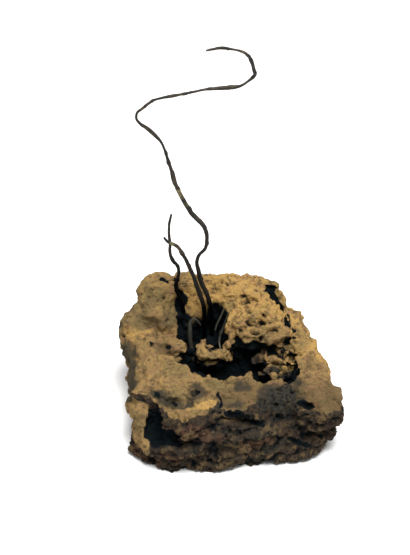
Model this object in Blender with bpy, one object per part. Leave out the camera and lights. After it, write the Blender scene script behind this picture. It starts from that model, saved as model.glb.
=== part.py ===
"""Native silver wire: curling wires of silver standing in the hollow of a broken lump of vein rock.

The rock is one solid. Its block is a closed surface of rings about an upright axis; hollows are cut
from it and lumps are joined to it, and the whole is then given its broken relief. Each wire is one
solid too, a round profile carried along a smooth curve. Lengths here are in millimetres, +X to the
right, +Y to the back and +Z up, and the meshes are made in metres. The origin is the middle of the
flat underside that the rock rests on.
"""
import itertools
import math

import bmesh
import bpy
import numpy as np

MM = 0.001

# ---- the rock's block: plan outlines seen from above, anticlockwise from the front left corner
TOP_OUTLINE = (
    (-20.6, -12.4), (-17.8, -14.8), (-14.6, -18.2), (-11.2, -20.0), (-7.2, -19.2), (-3.4, -17.0),
    (1.4, -18.6), (5.4, -15.6), (9.8, -12.0), (14.4, -10.8), (18.6, -12.8), (22.4, -13.2),
    (23.7, -9.6), (21.1, -3.6), (19.9, 2.0), (18.7, 5.8), (16.8, 10.0), (15.2, 17.6), (10.8, 19.4),
    (4.6, 19.9), (-2.6, 19.3), (-9.0, 19.7), (-16.2, 19.6), (-21.7, 19.0), (-23.8, 16.6),
    (-24.9, 12.8), (-24.9, 8.2), (-22.3, 4.0), (-21.3, 0.4), (-21.2, -4.0), (-21.8, -9.2),
)
BASE_OUTLINE = (
    (-21.7, -14.8), (-20.7, -19.0), (-16.4, -20.9), (-10.2, -21.4), (-5.8, -21.2), (0.0, -20.0),
    (6.0, -20.0), (12.0, -18.9), (16.8, -18.3), (19.6, -15.4), (20.6, -9.0), (19.6, 0.0),
    (18.0, 8.0), (16.4, 15.4), (12.4, 18.8), (4.0, 19.6), (-5.0, 18.8), (-13.0, 19.4),
    (-18.6, 17.2), (-21.8, 11.0), (-21.8, 3.0), (-21.4, -6.0),
)
PLATEAU_HEIGHT = 15.4
PLATEAU_RISE = 0.125
SIDE_BELLY = 0.8
BASE_DEPTH = 1.6
BASE_EDGE_LIFT = 0.9
EDGE_ROUNDING = 1.1

# name: centre, half widths, height at the centre, rise towards the back, squareness, flat share
MESAS = {
    "back ridge": ((-5.0, 20.0), (17.8, 9.5), 25.9, 0.08, 4.0, 0.30),
    "left hump": ((-17.0, 16.2), (7.0, 9.2), 25.4, 0.14, 3.8, 0.22),
    "corner block": ((9.2, 16.6), (3.2, 3.2), 23.8, 0.06, 3.0, 0.50),
    "crown of the dome": ((4.6, 18.6), (5.6, 6.0), 25.2, 0.10, 2.6, 0.30),
    "left rim": ((-22.8, 10.6), (3.6, 5.0), 18.8, 0.05, 2.4, 0.40),
    "apron shelf": ((2.0, -10.2), (5.0, 4.6), 15.4, 0.10, 2.4, 0.30),
    "apron left": ((-15.0, -8.0), (7.0, 6.0), 15.0, 0.12, 2.2, 0.30),
}

# name: stations of (x, y, z, radius) along the middle of what swells out of the block before it is cut
SWELLINGS = {
    "dome": ((5.4, 10.6, 17.0, 6.3), (6.8, 10.2, 17.0, 6.4)),
    "dome back": ((0.6, 15.2, 20.4, 4.4), (6.4, 15.0, 20.0, 4.7)),
    "dome left shoulder": ((1.8, 9.6, 17.4, 4.2), (3.0, 8.4, 16.8, 4.6)),
    "dome front lip": (
        (0.4, 5.8, 17.0, 1.8), (4.0, 4.6, 17.0, 2.2), (8.0, 4.8, 17.2, 2.2), (10.8, 6.4, 17.4, 1.9),
    ),
    "left hump foot": ((-19.6, 12.2, 17.6, 3.6), (-15.6, 11.8, 17.8, 3.8), (-13.4, 12.0, 17.4, 2.8)),
    "right shoulder": ((16.0, -13.0, 9.6, 3.4), (20.2, -12.0, 9.4, 3.6)),
}

# name: stations of (x, y, z, radius) along the middle of what is cut away
HOLLOWS = {
    "back hole": (
        (-4.8, 9.2, 23.0, 4.0), (-4.9, 9.0, 18.0, 4.5), (-4.8, 8.2, 12.0, 4.6), (-4.6, 7.0, 8.6, 3.2),
    ),
    "back hole left lobe": ((-9.6, 8.4, 21.0, 1.8), (-9.8, 7.4, 15.0, 2.6), (-8.6, 6.6, 10.5, 2.6)),
    "back hole rear lip": (
        (-4.4, 13.8, 25.4, 1.0), (-4.4, 13.1, 22.0, 1.4), (-4.6, 12.2, 17.0, 2.0), (-4.4, 11.0, 11.5, 2.4),
    ),
    "gap right of the ridge": ((0.5, 3.6, 17.6, 0.8), (0.6, 3.2, 13.6, 1.6), (0.6, 3.0, 9.6, 2.2)),
    "gap left of the ridge": ((-9.6, 4.6, 16.6, 1.0), (-9.4, 3.2, 13.4, 1.4), (-9.0, 2.4, 11.0, 1.4)),
    "gap below the left lump": ((-14.0, 2.2, 15.4, 1.0), (-11.6, 1.4, 14.2, 1.5), (-9.0, 0.2, 12.8, 2.0)),
    "trench": (
        (-11.4, -0.2, 15.4, 1.3), (-8.0, -2.0, 14.0, 2.5), (-3.0, -2.9, 12.2, 3.6), (2.4, -2.4, 11.6, 4.3),
        (7.8, -3.2, 11.6, 4.6), (11.4, -4.0, 13.0, 3.0),
    ),
    "trench mouth": (
        (-7.4, -3.2, 16.4, 2.0), (-1.0, -4.2, 16.6, 2.9), (5.0, -5.0, 16.6, 3.9), (11.6, -4.6, 16.4, 3.2),
    ),
    "trench back": ((1.2, 1.4, 15.6, 1.9), (5.0, 0.8, 15.6, 2.4), (9.8, 0.6, 15.4, 2.4)),
    "hollow under the ridge": ((-7.4, 1.6, 10.6, 2.0), (-4.6, 1.8, 9.8, 2.4), (-1.6, 1.6, 10.2, 2.4)),
    "hollow under the dome": ((1.0, 2.8, 12.0, 2.9), (5.0, 3.4, 12.0, 3.2), (9.8, 2.4, 12.6, 2.8)),
    "corner notch": ((13.8, 18.4, 21.6, 1.7), (13.8, 14.8, 20.4, 1.6)),
    "front notch": (
        (-16.8, -14.4, 12.4, 1.7), (-16.8, -15.8, 9.6, 2.5), (-16.8, -18.2, 7.8, 2.5),
        (-16.9, -21.0, 7.6, 2.4),
    ),
    "undercut above the pillar": (
        (-23.4, -9.6, 12.2, 0.9), (-21.6, -12.8, 12.5, 1.0), (-18.6, -14.6, 12.6, 1.1),
    ),
    "undercut of the left lip": (
        (-12.8, -20.4, 11.4, 0.9), (-9.8, -21.8, 11.2, 1.0), (-6.2, -21.0, 11.6, 0.9),
    ),
    "hollow under the lip": ((-2.0, -17.4, 12.2, 1.3), (0.4, -17.6, 11.9, 1.9), (3.0, -17.4, 11.5, 1.5)),
    "small hollow in the front": ((5.0, -17.8, 10.6, 1.2), (6.8, -17.5, 10.1, 1.3)),
    "apron hollow": ((-16.6, -12.6, 14.6, 1.5), (-13.4, -13.8, 13.8, 2.2), (-10.0, -13.6, 14.4, 1.6)),
    "apron dimple": ((-9.8, -11.0, 15.2, 1.4), (-8.0, -10.6, 15.2, 1.2)),
    "lip cleft": ((-3.2, -15.6, 15.2, 0.9), (-3.6, -18.6, 12.6, 1.2)),
    "right lip bay": ((6.6, -17.4, 13.6, 2.0), (10.6, -15.8, 13.8, 2.4), (14.0, -16.0, 13.0, 1.8)),
    "lower left crevice": (
        (-15.6, -18.6, 8.2, 1.6), (-12.8, -19.9, 8.2, 1.8), (-9.8, -20.9, 7.9, 1.5), (-7.0, -21.4, 7.5, 1.0),
    ),
    "right hollow": ((14.6, -14.2, 12.8, 1.3), (17.2, -14.5, 12.5, 1.5)),
    "lower right crevice": (
        (10.6, -20.2, 6.6, 1.2), (12.0, -20.0, 3.6, 1.6), (15.6, -18.8, 4.6, 1.4), (20.0, -17.0, 5.0, 1.9),
    ),
    "back ledge": ((-16.0, 22.6, 13.0, 2.0), (-4.0, 23.0, 10.5, 2.6), (8.0, 22.4, 12.5, 2.0)),
}

# name: stations of (x, y, z, half width) along narrow clefts, cut CREVICE_DEPTH times as deep as wide
CREVICES = {
    "left groove": (
        (-13.3, 19.4, 24.4, 0.8), (-12.8, 17.2, 23.2, 1.0), (-12.1, 14.8, 21.4, 1.2),
        (-11.4, 12.2, 19.2, 1.4), (-10.8, 9.8, 17.0, 1.6),
    ),
    "right crevice": (
        (8.9, 15.0, 22.8, 1.3), (10.1, 14.2, 22.2, 2.0), (10.8, 12.6, 21.0, 2.0), (11.5, 11.0, 19.8, 1.7),
        (12.2, 8.8, 18.4, 1.3), (12.5, 6.2, 17.2, 1.1), (12.7, 4.2, 16.4, 0.9), (12.8, 2.0, 15.4, 0.8),
        (12.8, -2.0, 14.4, 0.8), (12.8, -4.6, 13.8, 1.0),
    ),
    "slit on the left hump": ((-16.8, 16.0, 25.6, 0.5), (-14.6, 15.6, 25.4, 0.6)),
}
CREVICE_DEPTH = 2.4

# name: stations of (x, y, z, radius) along the middle of what stands in the hollows and on the rim
LUMPS = {
    "pillar between the hollows": ((-4.8, 7.2, 3.0, 2.3), (-4.8, 6.6, 9.0, 1.8), (-4.8, 4.8, 12.8, 1.5)),
    "ridge between the hollows": ((-6.7, 3.0, 13.6, 1.5), (-4.6, 2.8, 13.5, 1.8), (-1.3, 3.1, 13.7, 1.9)),
    "left knob": ((-6.6, 4.0, 14.8, 0.9), (-6.6, 4.2, 16.1, 0.8)),
    "right knob": ((-1.2, 3.5, 14.6, 1.3), (-1.0, 3.8, 15.5, 1.3)),
    "left lump": ((-14.2, 4.8, 15.2, 2.2), (-11.7, 4.1, 14.9, 2.3)),
    "point in the lip": ((3.4, -7.4, 13.0, 1.9), (3.4, -5.5, 13.8, 1.2)),
    "rubble bed": ((9.6, 0.4, 7.6, 3.6), (10.6, 0.2, 10.4, 3.0)),
    "rubble 1": ((7.0, -0.4, 10.8, 1.5), (8.2, -1.6, 12.0, 1.1)),
    "rubble 2": ((9.8, -2.8, 11.6, 1.5), (11.2, -2.4, 12.8, 1.1)),
    "rubble 3": ((8.2, 1.0, 12.6, 1.3), (9.8, 0.6, 13.8, 1.0)),
    "rubble 4": ((11.4, 0.6, 13.0, 1.4), (12.0, -0.8, 14.0, 1.0)),
    "rubble 5": ((6.0, 3.6, 11.8, 1.6), (7.2, 2.8, 13.2, 1.2)),
    "rubble 6": ((9.4, 3.6, 12.6, 1.6), (10.8, 3.0, 14.2, 1.2)),
    "rubble 7": ((7.6, 4.6, 12.8, 1.5), (8.4, 4.2, 14.0, 1.1)),
    "rubble 8": ((11.6, 3.4, 13.6, 1.6), (12.4, 2.2, 14.6, 1.1)),
    "root of the tall wires": ((-5.2, 13.6, 7.6, 3.0), (-5.2, 12.0, 11.0, 2.2)),
    "root of the left wire": ((-11.4, 14.2, 16.0, 1.9), (-11.2, 12.6, 18.4, 1.4)),
    "root in the left lobe": ((-9.0, 5.8, 7.4, 2.2), (-9.0, 6.4, 10.0, 1.6)),
}

# ---- the wires: stations of (x, y, z, thickness) along each, from its root
MAIN_WIRE = (
    (-4.5, 12.0, 14.1, 1.00), (-4.5, 12.0, 17.4, 1.04), (-4.8, 12.0, 21.2, 1.07),
    (-5.7, 12.0, 24.4, 1.09), (-6.7, 11.7, 27.0, 1.07), (-7.4, 11.2, 30.7, 1.02),
    (-7.8, 10.8, 33.4, 0.89), (-7.3, 10.4, 35.5, 0.82), (-5.9, 9.8, 37.7, 0.82), (-5.6, 9.6, 39.6, 0.84),
    (-5.7, 9.8, 41.5, 0.84), (-6.2, 10.2, 42.9, 0.93), (-7.2, 10.8, 44.0, 1.02), (-8.6, 11.4, 45.1, 1.00),
    (-9.8, 12.0, 46.8, 0.96), (-11.1, 12.6, 49.0, 0.84), (-12.2, 13.1, 51.4, 0.80),
    (-13.0, 13.3, 54.5, 0.75), (-13.9, 13.1, 57.6, 0.66), (-14.5, 12.6, 60.3, 0.52),
    (-15.3, 11.8, 62.9, 0.55), (-16.7, 10.6, 65.4, 0.66), (-18.2, 9.2, 67.7, 0.61),
    (-19.6, 7.8, 69.6, 0.48), (-20.3, 6.9, 71.5, 0.41), (-20.0, 6.6, 72.8, 0.41),
    (-19.0, 6.7, 73.6, 0.46), (-17.8, 7.2, 74.5, 0.52), (-16.4, 7.8, 75.1, 0.59),
    (-14.9, 8.5, 75.2, 0.59), (-12.0, 9.8, 75.1, 0.61), (-8.7, 11.2, 75.1, 0.59),
    (-6.2, 12.2, 75.2, 0.61), (-3.7, 12.9, 75.1, 0.84), (-0.6, 13.3, 75.2, 0.82), (1.4, 13.3, 75.5, 0.50),
    (3.1, 12.9, 76.9, 0.64), (4.4, 12.2, 78.7, 0.55), (4.1, 11.4, 80.4, 0.50), (3.6, 10.4, 82.6, 0.50),
    (2.7, 9.2, 84.7, 0.48), (1.3, 8.0, 86.1, 0.41), (-0.8, 6.8, 87.2, 0.46), (-3.0, 5.8, 87.9, 0.48),
    (-4.5, 5.2, 87.9, 0.39), (-5.7, 4.8, 87.8, 0.32),
)
CROSSING_WIRE = (
    (-6.1, 11.3, 14.0, 0.95), (-6.1, 11.1, 17.6, 0.98), (-6.3, 11.0, 21.6, 1.00),
    (-7.0, 10.7, 24.5, 1.00), (-7.8, 10.2, 27.5, 0.98), (-8.6, 9.5, 30.7, 0.93), (-9.3, 8.9, 32.9, 0.89),
    (-10.2, 8.1, 35.8, 0.86), (-11.1, 7.5, 37.9, 0.84), (-11.9, 7.1, 39.6, 0.82),
    (-13.0, 6.8, 40.6, 0.77), (-13.9, 6.7, 41.1, 0.71), (-14.5, 6.7, 41.7, 0.61),
    (-14.8, 6.7, 42.2, 0.50),
)
LEFT_WIRE = (
    (-11.1, 12.0, 20.8, 0.80), (-11.3, 12.0, 22.2, 0.80), (-12.1, 12.2, 24.0, 0.82),
    (-12.6, 12.2, 26.4, 0.82), (-12.1, 11.7, 28.6, 0.80), (-11.8, 11.0, 30.8, 0.77),
    (-12.1, 10.3, 32.7, 0.75), (-12.9, 9.7, 34.3, 0.73), (-13.5, 9.3, 35.9, 0.71),
    (-13.7, 9.0, 37.8, 0.68), (-13.6, 8.8, 39.6, 0.66), (-13.8, 8.8, 41.4, 0.64),
    (-13.8, 8.9, 43.1, 0.61), (-13.7, 9.0, 44.6, 0.64), (-13.3, 9.1, 46.5, 0.52),
)
HOLLOW_WIRE_LEFT = (
    (-9.0, 6.6, 12.5, 0.90), (-9.3, 7.3, 14.2, 0.88), (-9.4, 8.4, 16.8, 0.84), (-9.2, 9.2, 18.6, 0.70),
    (-8.5, 9.4, 19.2, 0.55), (-7.6, 9.3, 18.6, 0.45), (-7.0, 9.0, 17.8, 0.38),
)
HOLLOW_WIRE_MIDDLE = (
    (-2.3, 11.4, 18.9, 0.45), (-2.7, 11.0, 18.1, 0.48), (-3.3, 10.5, 17.0, 0.42), (-3.7, 9.8, 15.8, 0.36),
)
HOLLOW_WIRE_RIGHT = (
    (-1.4, 10.0, 18.0, 0.50), (-1.9, 9.6, 16.6, 0.55), (-2.6, 8.8, 14.9, 0.55), (-2.8, 7.8, 13.6, 0.50),
    (-2.5, 6.8, 12.8, 0.42),
)
WIRES = {
    "main_wire": MAIN_WIRE,
    "crossing_wire": CROSSING_WIRE,
    "left_wire": LEFT_WIRE,
    "hollow_wire_left": HOLLOW_WIRE_LEFT,
    "hollow_wire_middle": HOLLOW_WIRE_MIDDLE,
    "hollow_wire_right": HOLLOW_WIRE_RIGHT,
}
WIRE_SIDES = 8
WIRE_STEP = 1.25

# ---- how finely the rock is made
BLOCK_SIDES = 112
BLOCK_RINGS = (26, 16, 8)
BLOB_SIDES = 16
BLOB_STEP = 0.9
ROCK_VOXEL = 0.7
ROCK_TRIANGLES = 6900


def lattice_value(cells, seed):
    """One repeatable number from 0 to 1 for each whole-number point of a lattice."""
    mixed = cells[..., 0] * 73856093 ^ cells[..., 1] * 19349663 ^ cells[..., 2] * 83492791 ^ seed * 6971
    mixed = (mixed & 0xFFFFFFFF) * 1274126177 & 0xFFFFFFFF
    mixed = (mixed ^ mixed >> 15) * 2246822519 & 0xFFFFFFFF
    return (mixed ^ mixed >> 13) / 4294967295.0


def smooth_noise(points, size, seed):
    """Lattice values blended smoothly between the eight corners round each point, from -1 to 1."""
    scaled = points / size
    cells = np.floor(scaled).astype(np.int64)
    part = scaled - cells
    part = part * part * (3.0 - 2.0 * part)
    total = np.zeros(points.shape[:-1])
    for corner in itertools.product((0, 1), repeat=3):
        weight = np.prod(np.where(corner, part, 1.0 - part), axis=-1)
        total += weight * lattice_value(cells + np.array(corner), seed)
    return 2.0 * total - 1.0


def layered_noise(points, size, octaves, seed):
    """Smooth noise at one size and at half that size each further octave, half as strong each time."""
    return sum(0.5 ** k * smooth_noise(points, size * 0.5 ** k, seed + k) for k in range(octaves))


def cell_distance(points, size, seed):
    """Distance to the nearest of one scattered point in each lattice cell, in cell widths."""
    scaled = points / size
    cells = np.floor(scaled).astype(np.int64)
    nearest = np.full(points.shape[:-1], 9.0)
    for offset in itertools.product((-1, 0, 1), repeat=3):
        cell = cells + np.array(offset)
        centre = cell + np.stack([lattice_value(cell, seed + k) for k in range(3)], axis=-1)
        nearest = np.minimum(nearest, np.linalg.norm(scaled - centre, axis=-1))
    return nearest


def smooth_step(low, high, value):
    """0 below low, 1 above high and an even S-curve between them."""
    share = np.clip((value - low) / (high - low), 0.0, 1.0)
    return share * share * (3.0 - 2.0 * share)


def smooth_curve(stations, places):
    """Cubic curve through the stations, each at its chord length, read at the given lengths."""
    chords = np.linalg.norm(np.diff(stations[:, :3], axis=0), axis=1)
    lengths = np.concatenate([[0.0], np.cumsum(chords)])
    slopes = np.gradient(stations, lengths, axis=0)
    index = np.clip(np.searchsorted(lengths, places, side="right") - 1, 0, len(lengths) - 2)
    span = (lengths[index + 1] - lengths[index])[:, None]
    t = (places[:, None] - lengths[index][:, None]) / span
    near = (2 * t ** 3 - 3 * t ** 2 + 1) * stations[index]
    near += (t ** 3 - 2 * t ** 2 + t) * span * slopes[index]
    far = (3 * t ** 2 - 2 * t ** 3) * stations[index + 1]
    far += (t ** 3 - t ** 2) * span * slopes[index + 1]
    return near + far


def round_bar(stations, sides, step, width_is_radius):
    """A round profile carried along the curve through the stations, with domed ends.

    Each ring lies across the curve. Near an end, at less than the end's radius from it, the ring's
    radius follows a circle down to nothing.
    """
    stations = np.array(stations, dtype=float)
    stations[:, 3] *= 1.0 if width_is_radius else 0.5
    heads = stations[[0, -1], 3]
    out_at_start = stations[0] - stations[1]
    out_at_end = stations[-1] - stations[-2]
    first = stations[0] + out_at_start * heads[0] / np.linalg.norm(out_at_start[:3])
    last = stations[-1] + out_at_end * heads[1] / np.linalg.norm(out_at_end[:3])
    first[3], last[3] = heads
    stations = np.vstack([first, stations, last])
    total = np.linalg.norm(np.diff(stations[:, :3], axis=0), axis=1).sum()
    dome = 1.0 - np.cos(np.radians((28.0, 58.0)))
    middle = np.linspace(heads[0], total - heads[1], max(3, round(total / step)))
    places = np.concatenate([heads[0] * dome, middle, total - heads[1] * dome[::-1]])
    along = smooth_curve(stations, np.concatenate([[0.0], places, [total]]))
    centres, radii = along[1:-1, :3], along[1:-1, 3]
    near_end = np.minimum(places / heads[0], (total - places) / heads[1])
    radii = radii * np.sqrt(1.0 - (1.0 - np.clip(near_end, 0.0, 1.0)) ** 2)
    tangents = along[2:, :3] - along[:-2, :3]
    tangents /= np.linalg.norm(tangents, axis=1)[:, None]
    reference = np.eye(3)[np.argmin(np.abs(tangents).max(axis=0))]
    across = np.cross(tangents, reference)
    across /= np.linalg.norm(across, axis=1)[:, None]
    upward = np.cross(tangents, across)
    turn = np.linspace(0.0, 2.0 * math.pi, sides, endpoint=False)
    spokes = np.cos(turn)[:, None] * across[:, None, :] + np.sin(turn)[:, None] * upward[:, None, :]
    rings = centres[:, None, :] + radii[:, None, None] * spokes
    return rings, along[0, :3], along[-1, :3]


def outline_reach(outline, azimuth):
    """Distance from the axis to a smooth closed outline, in each direction."""
    points = np.array(outline + outline + outline, dtype=float)
    chords = np.linalg.norm(np.diff(points, axis=0), axis=1)
    lengths = np.concatenate([[0.0], np.cumsum(chords)])
    flat = np.column_stack([points, np.zeros(len(points))])
    count = len(outline)
    curve = smooth_curve(flat, np.linspace(lengths[count], lengths[2 * count], 720, endpoint=False))
    angle = np.arctan2(curve[:, 1], curve[:, 0])
    return np.interp(azimuth, angle, np.hypot(curve[:, 0], curve[:, 1]), period=2.0 * math.pi)


def top_height(x, y):
    """Height of the block's top: a plateau that rises to the back, with steep-sided mesas on it."""
    height = PLATEAU_HEIGHT + PLATEAU_RISE * y
    for centre, half_widths, top, rise, squareness, flat_share in MESAS.values():
        across = np.abs(x - centre[0]) / half_widths[0]
        deep = np.abs(y - centre[1]) / half_widths[1]
        distance = (across ** squareness + deep ** squareness) ** (1.0 / squareness)
        crown = top + rise * (y - centre[1])
        share = 1.0 - smooth_step(flat_share, 1.0, distance)
        height = np.maximum(height, height + (crown - height) * share)
    return height


def block_rings(sides, rings):
    """The block as rings: over its top, down its sides with a belly, and in under its base."""
    azimuth = np.linspace(-math.pi, math.pi, sides, endpoint=False)
    direction = np.stack([np.cos(azimuth), np.sin(azimuth)], axis=-1)
    top_reach = outline_reach(TOP_OUTLINE, azimuth)
    base_reach = outline_reach(BASE_OUTLINE, azimuth)
    top_share = (np.arange(rings[0]) + 1.0)[:, None] / rings[0]
    plan = (top_share * top_reach)[..., None] * direction
    top = top_height(plan[..., 0], plan[..., 1]) - EDGE_ROUNDING * smooth_step(0.92, 1.0, top_share)
    side_share = (np.arange(rings[1]) + 1.0)[:, None] / rings[1]
    round_the_edge = np.column_stack([3.0 * direction, np.zeros(sides)])
    edge_lift = BASE_EDGE_LIFT * (1.0 + smooth_noise(round_the_edge, 1.0, 5))
    side_reach = top_reach + (base_reach - top_reach) * side_share
    side_reach = side_reach + SIDE_BELLY * np.sin(math.pi * side_share)
    side_height = top[-1] + (edge_lift - top[-1]) * side_share
    base_share = (np.arange(rings[2]) + 1.0)[:, None] / (rings[2] + 1.0)
    under_reach = base_reach * (1.0 - base_share)
    under_height = -BASE_DEPTH + (edge_lift + BASE_DEPTH) * (1.0 - smooth_step(0.0, 0.25, base_share))
    reach = np.vstack([np.linalg.norm(plan, axis=-1), side_reach, under_reach])
    height = np.vstack([top, side_height, under_height])
    surface = np.dstack([reach[..., None] * direction, height[..., None]])
    axis_top = np.array([0.0, 0.0, float(top_height(np.zeros(1), np.zeros(1))[0])])
    return surface, axis_top, np.array([0.0, 0.0, -BASE_DEPTH])


def object_from_rings(name, surface):
    """A closed mesh from rings of points and one pole at each end, its faces pointing out."""
    rings, first, last = surface
    count, sides = rings.shape[:2]
    vertices = np.vstack([rings.reshape(-1, 3), first, last]) * MM
    grid = np.arange(count * sides).reshape(count, sides)
    beside = np.roll(grid, -1, axis=1)
    quads = np.stack([grid[:-1], grid[1:], beside[1:], beside[:-1]], axis=-1).reshape(-1, 4)
    start_fan = np.stack([grid[0], beside[0], np.full(sides, count * sides)], axis=-1)
    end_fan = np.stack([beside[-1], grid[-1], np.full(sides, count * sides + 1)], axis=-1)
    mesh = bpy.data.meshes.new(name)
    mesh.from_pydata(vertices.tolist(), [], quads.tolist() + start_fan.tolist() + end_fan.tolist())
    editable = bmesh.new()
    editable.from_mesh(mesh)
    bmesh.ops.recalc_face_normals(editable, faces=editable.faces)
    editable.to_mesh(mesh)
    editable.free()
    made = bpy.data.objects.new(name, mesh)
    bpy.context.scene.collection.objects.link(made)
    return made


def settle(target):
    """Replace an object's mesh by what its modifiers make of it, and drop the modifiers."""
    evaluated = target.evaluated_get(bpy.context.evaluated_depsgraph_get())
    mesh = bpy.data.meshes.new_from_object(evaluated)
    target.modifiers.clear()
    target.data = mesh


def cut(target, cutter):
    """Take the cutter's volume out of the target."""
    difference = target.modifiers.new("Cut", "BOOLEAN")
    difference.operation = "DIFFERENCE"
    difference.object = cutter
    settle(target)
    bpy.data.objects.remove(cutter)


def join(target, others):
    """Put the others' faces into the target's mesh."""
    joined = bmesh.new()
    for piece in (target, *others):
        joined.from_mesh(piece.data)
    joined.to_mesh(target.data)
    joined.free()
    for piece in others:
        bpy.data.objects.remove(piece)


def fuse(target, voxel):
    """Make one skin of even faces of all that overlaps in a mesh."""
    skin = target.modifiers.new("Fuse", "REMESH")
    skin.mode = "VOXEL"
    skin.voxel_size = voxel * MM
    settle(target)


def add_blobs(target, places, depth=1.0):
    """Join a closed rounded body for each named line of stations to the target.

    A depth other than 1 stretches each ring upright about its middle, which makes a blade of the body.
    """
    blobs = []
    for name, stations in places.items():
        rings, first, last = round_bar(stations, BLOB_SIDES, BLOB_STEP, True)
        middle = rings[..., 2].mean(axis=1, keepdims=True)
        rings[..., 2] = middle + (rings[..., 2] - middle) * depth
        blobs.append(object_from_rings(name, (rings, first, last)))
    join(target, blobs)


def away_from_roots(points):
    """0 at each wire's root, where the rock stays smooth, rising to 1 a few millimetres away."""
    share = np.ones(points.shape[:-1])
    for stations in WIRES.values():
        distance = np.linalg.norm(points - np.array(stations[0][:3]), axis=-1)
        share *= smooth_step(1.4, 3.4, distance)
    return share


def rock_relief(points, normals):
    """How far each point of the rock's skin moves out along its normal.

    Broad swells and small lumps everywhere; level ledges where the skin is steep; and on the front
    half of the dome a crust of close knobs with pits between them. It fades away at the wires' roots.
    """
    steep = 1.0 - smooth_step(0.35, 0.75, np.abs(normals[:, 2]))
    relief = 0.7 * layered_noise(points, 7.0, 2, 11) + 0.75 * layered_noise(points, 2.6, 2, 23)
    ledges = layered_noise(points * np.array([0.22, 0.22, 1.0]), 3.0, 2, 37)
    relief += steep * 1.1 * ledges
    dome_x, dome_y = (points[:, 0] - 6.0) / 7.0, (points[:, 1] - 7.5) / 6.5
    crusted = (1.0 - smooth_step(0.6, 1.0, np.hypot(dome_x, dome_y))) * smooth_step(16.0, 18.0, points[:, 2])
    relief += crusted * 0.9 * (0.55 - cell_distance(points, 2.7, 51))
    return relief * away_from_roots(points)


def displace(target, amount):
    """Move each vertex along its normal by what the function gives, in millimetres."""
    mesh = target.data
    count = len(mesh.vertices)
    points = np.empty(count * 3)
    mesh.vertices.foreach_get("co", points)
    points = points.reshape(-1, 3) / MM
    normals = np.empty(count * 3, dtype=np.float32)
    mesh.vertex_normals.foreach_get("vector", normals)
    normals = normals.reshape(-1, 3).astype(float)
    moved = points + normals * amount(points, normals)[:, None]
    mesh.vertices.foreach_set("co", (moved * MM).ravel())
    mesh.update()


def flatten_base(target):
    """Slice the rock off level at z = 0 and close it with a flat face."""
    sliced = bmesh.new()
    sliced.from_mesh(target.data)
    everything = sliced.verts[:] + sliced.edges[:] + sliced.faces[:]
    bmesh.ops.bisect_plane(
        sliced, geom=everything, dist=1e-7, plane_co=(0, 0, 0), plane_no=(0, 0, 1), clear_inner=True)
    rim = [edge for edge in sliced.edges if edge.is_boundary]
    bmesh.ops.triangle_fill(sliced, edges=rim, use_beauty=True, normal=(0, 0, -1))
    bmesh.ops.recalc_face_normals(sliced, faces=sliced.faces)
    sliced.to_mesh(target.data)
    sliced.free()


def keep_largest(target):
    """Drop every loose part of the mesh but the one with the most vertices."""
    loose = bmesh.new()
    loose.from_mesh(target.data)
    remaining = set(loose.verts)
    parts = []
    while remaining:
        found = {remaining.pop()}
        edge_of_search = list(found)
        while edge_of_search:
            vertex = edge_of_search.pop()
            for edge in vertex.link_edges:
                neighbour = edge.other_vert(vertex)
                if neighbour in remaining:
                    remaining.discard(neighbour)
                    found.add(neighbour)
                    edge_of_search.append(neighbour)
        parts.append(found)
    parts.sort(key=len)
    small = [vertex for part in parts[:-1] for vertex in part]
    bmesh.ops.delete(loose, geom=small, context="VERTS")
    loose.to_mesh(target.data)
    loose.free()


def material(name, colour, roughness, metallic):
    """A plain finish: base colour, roughness and metallic value."""
    made = bpy.data.materials.new(name)
    made.use_nodes = True
    shader = made.node_tree.nodes["Principled BSDF"]
    shader.inputs["Base Color"].default_value = (*colour, 1.0)
    shader.inputs["Roughness"].default_value = roughness
    shader.inputs["Metallic"].default_value = metallic
    return made


def make_matrix():
    """The lump of vein rock: block, hollows, lumps, relief and flat base."""
    rock = object_from_rings("matrix", block_rings(BLOCK_SIDES, BLOCK_RINGS))
    add_blobs(rock, SWELLINGS)
    fuse(rock, ROCK_VOXEL)
    hollows = bpy.data.objects.new("hollows", bpy.data.meshes.new("hollows"))
    bpy.context.scene.collection.objects.link(hollows)
    add_blobs(hollows, HOLLOWS)
    add_blobs(hollows, CREVICES, CREVICE_DEPTH)
    fuse(hollows, ROCK_VOXEL)
    cut(rock, hollows)
    add_blobs(rock, LUMPS)
    fuse(rock, ROCK_VOXEL)
    displace(rock, rock_relief)
    fuse(rock, ROCK_VOXEL)
    keep_largest(rock)
    thin = rock.modifiers.new("Thin", "DECIMATE")
    rock.data.calc_loop_triangles()
    thin.ratio = ROCK_TRIANGLES / len(rock.data.loop_triangles)
    settle(rock)
    flatten_base(rock)
    rock.data.materials.clear()
    rock.data.materials.append(material("Ochre vein rock", (0.26, 0.17, 0.08), 0.92, 0.0))
    return rock


def make_wire(name, stations, finish):
    """One wire of silver along its stations."""
    wire = object_from_rings(name, round_bar(stations, WIRE_SIDES, WIRE_STEP, False))
    wire.data.shade_smooth()
    wire.data.materials.append(finish)
    return wire


def main():
    for old in list(bpy.data.objects):
        bpy.data.objects.remove(old)
    make_matrix()
    tarnished = material("Tarnished silver", (0.055, 0.045, 0.035), 0.45, 1.0)
    grey = material("Grey silver", (0.14, 0.13, 0.11), 0.5, 1.0)
    for name, stations in WIRES.items():
        make_wire(name, stations, grey if name.startswith("hollow") else tarnished)


if __name__ == "__main__":
    main()
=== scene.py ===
"""Native silver wire: curling wires of silver standing in the hollow of a broken lump of vein rock.

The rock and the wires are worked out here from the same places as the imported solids, only finer, and
given their finishes. Lengths are in millimetres until a mesh is made: +X to the right, +Y to the back
and +Z up, from the middle of the flat underside that the rock rests on.
"""
import itertools
import math

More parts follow.
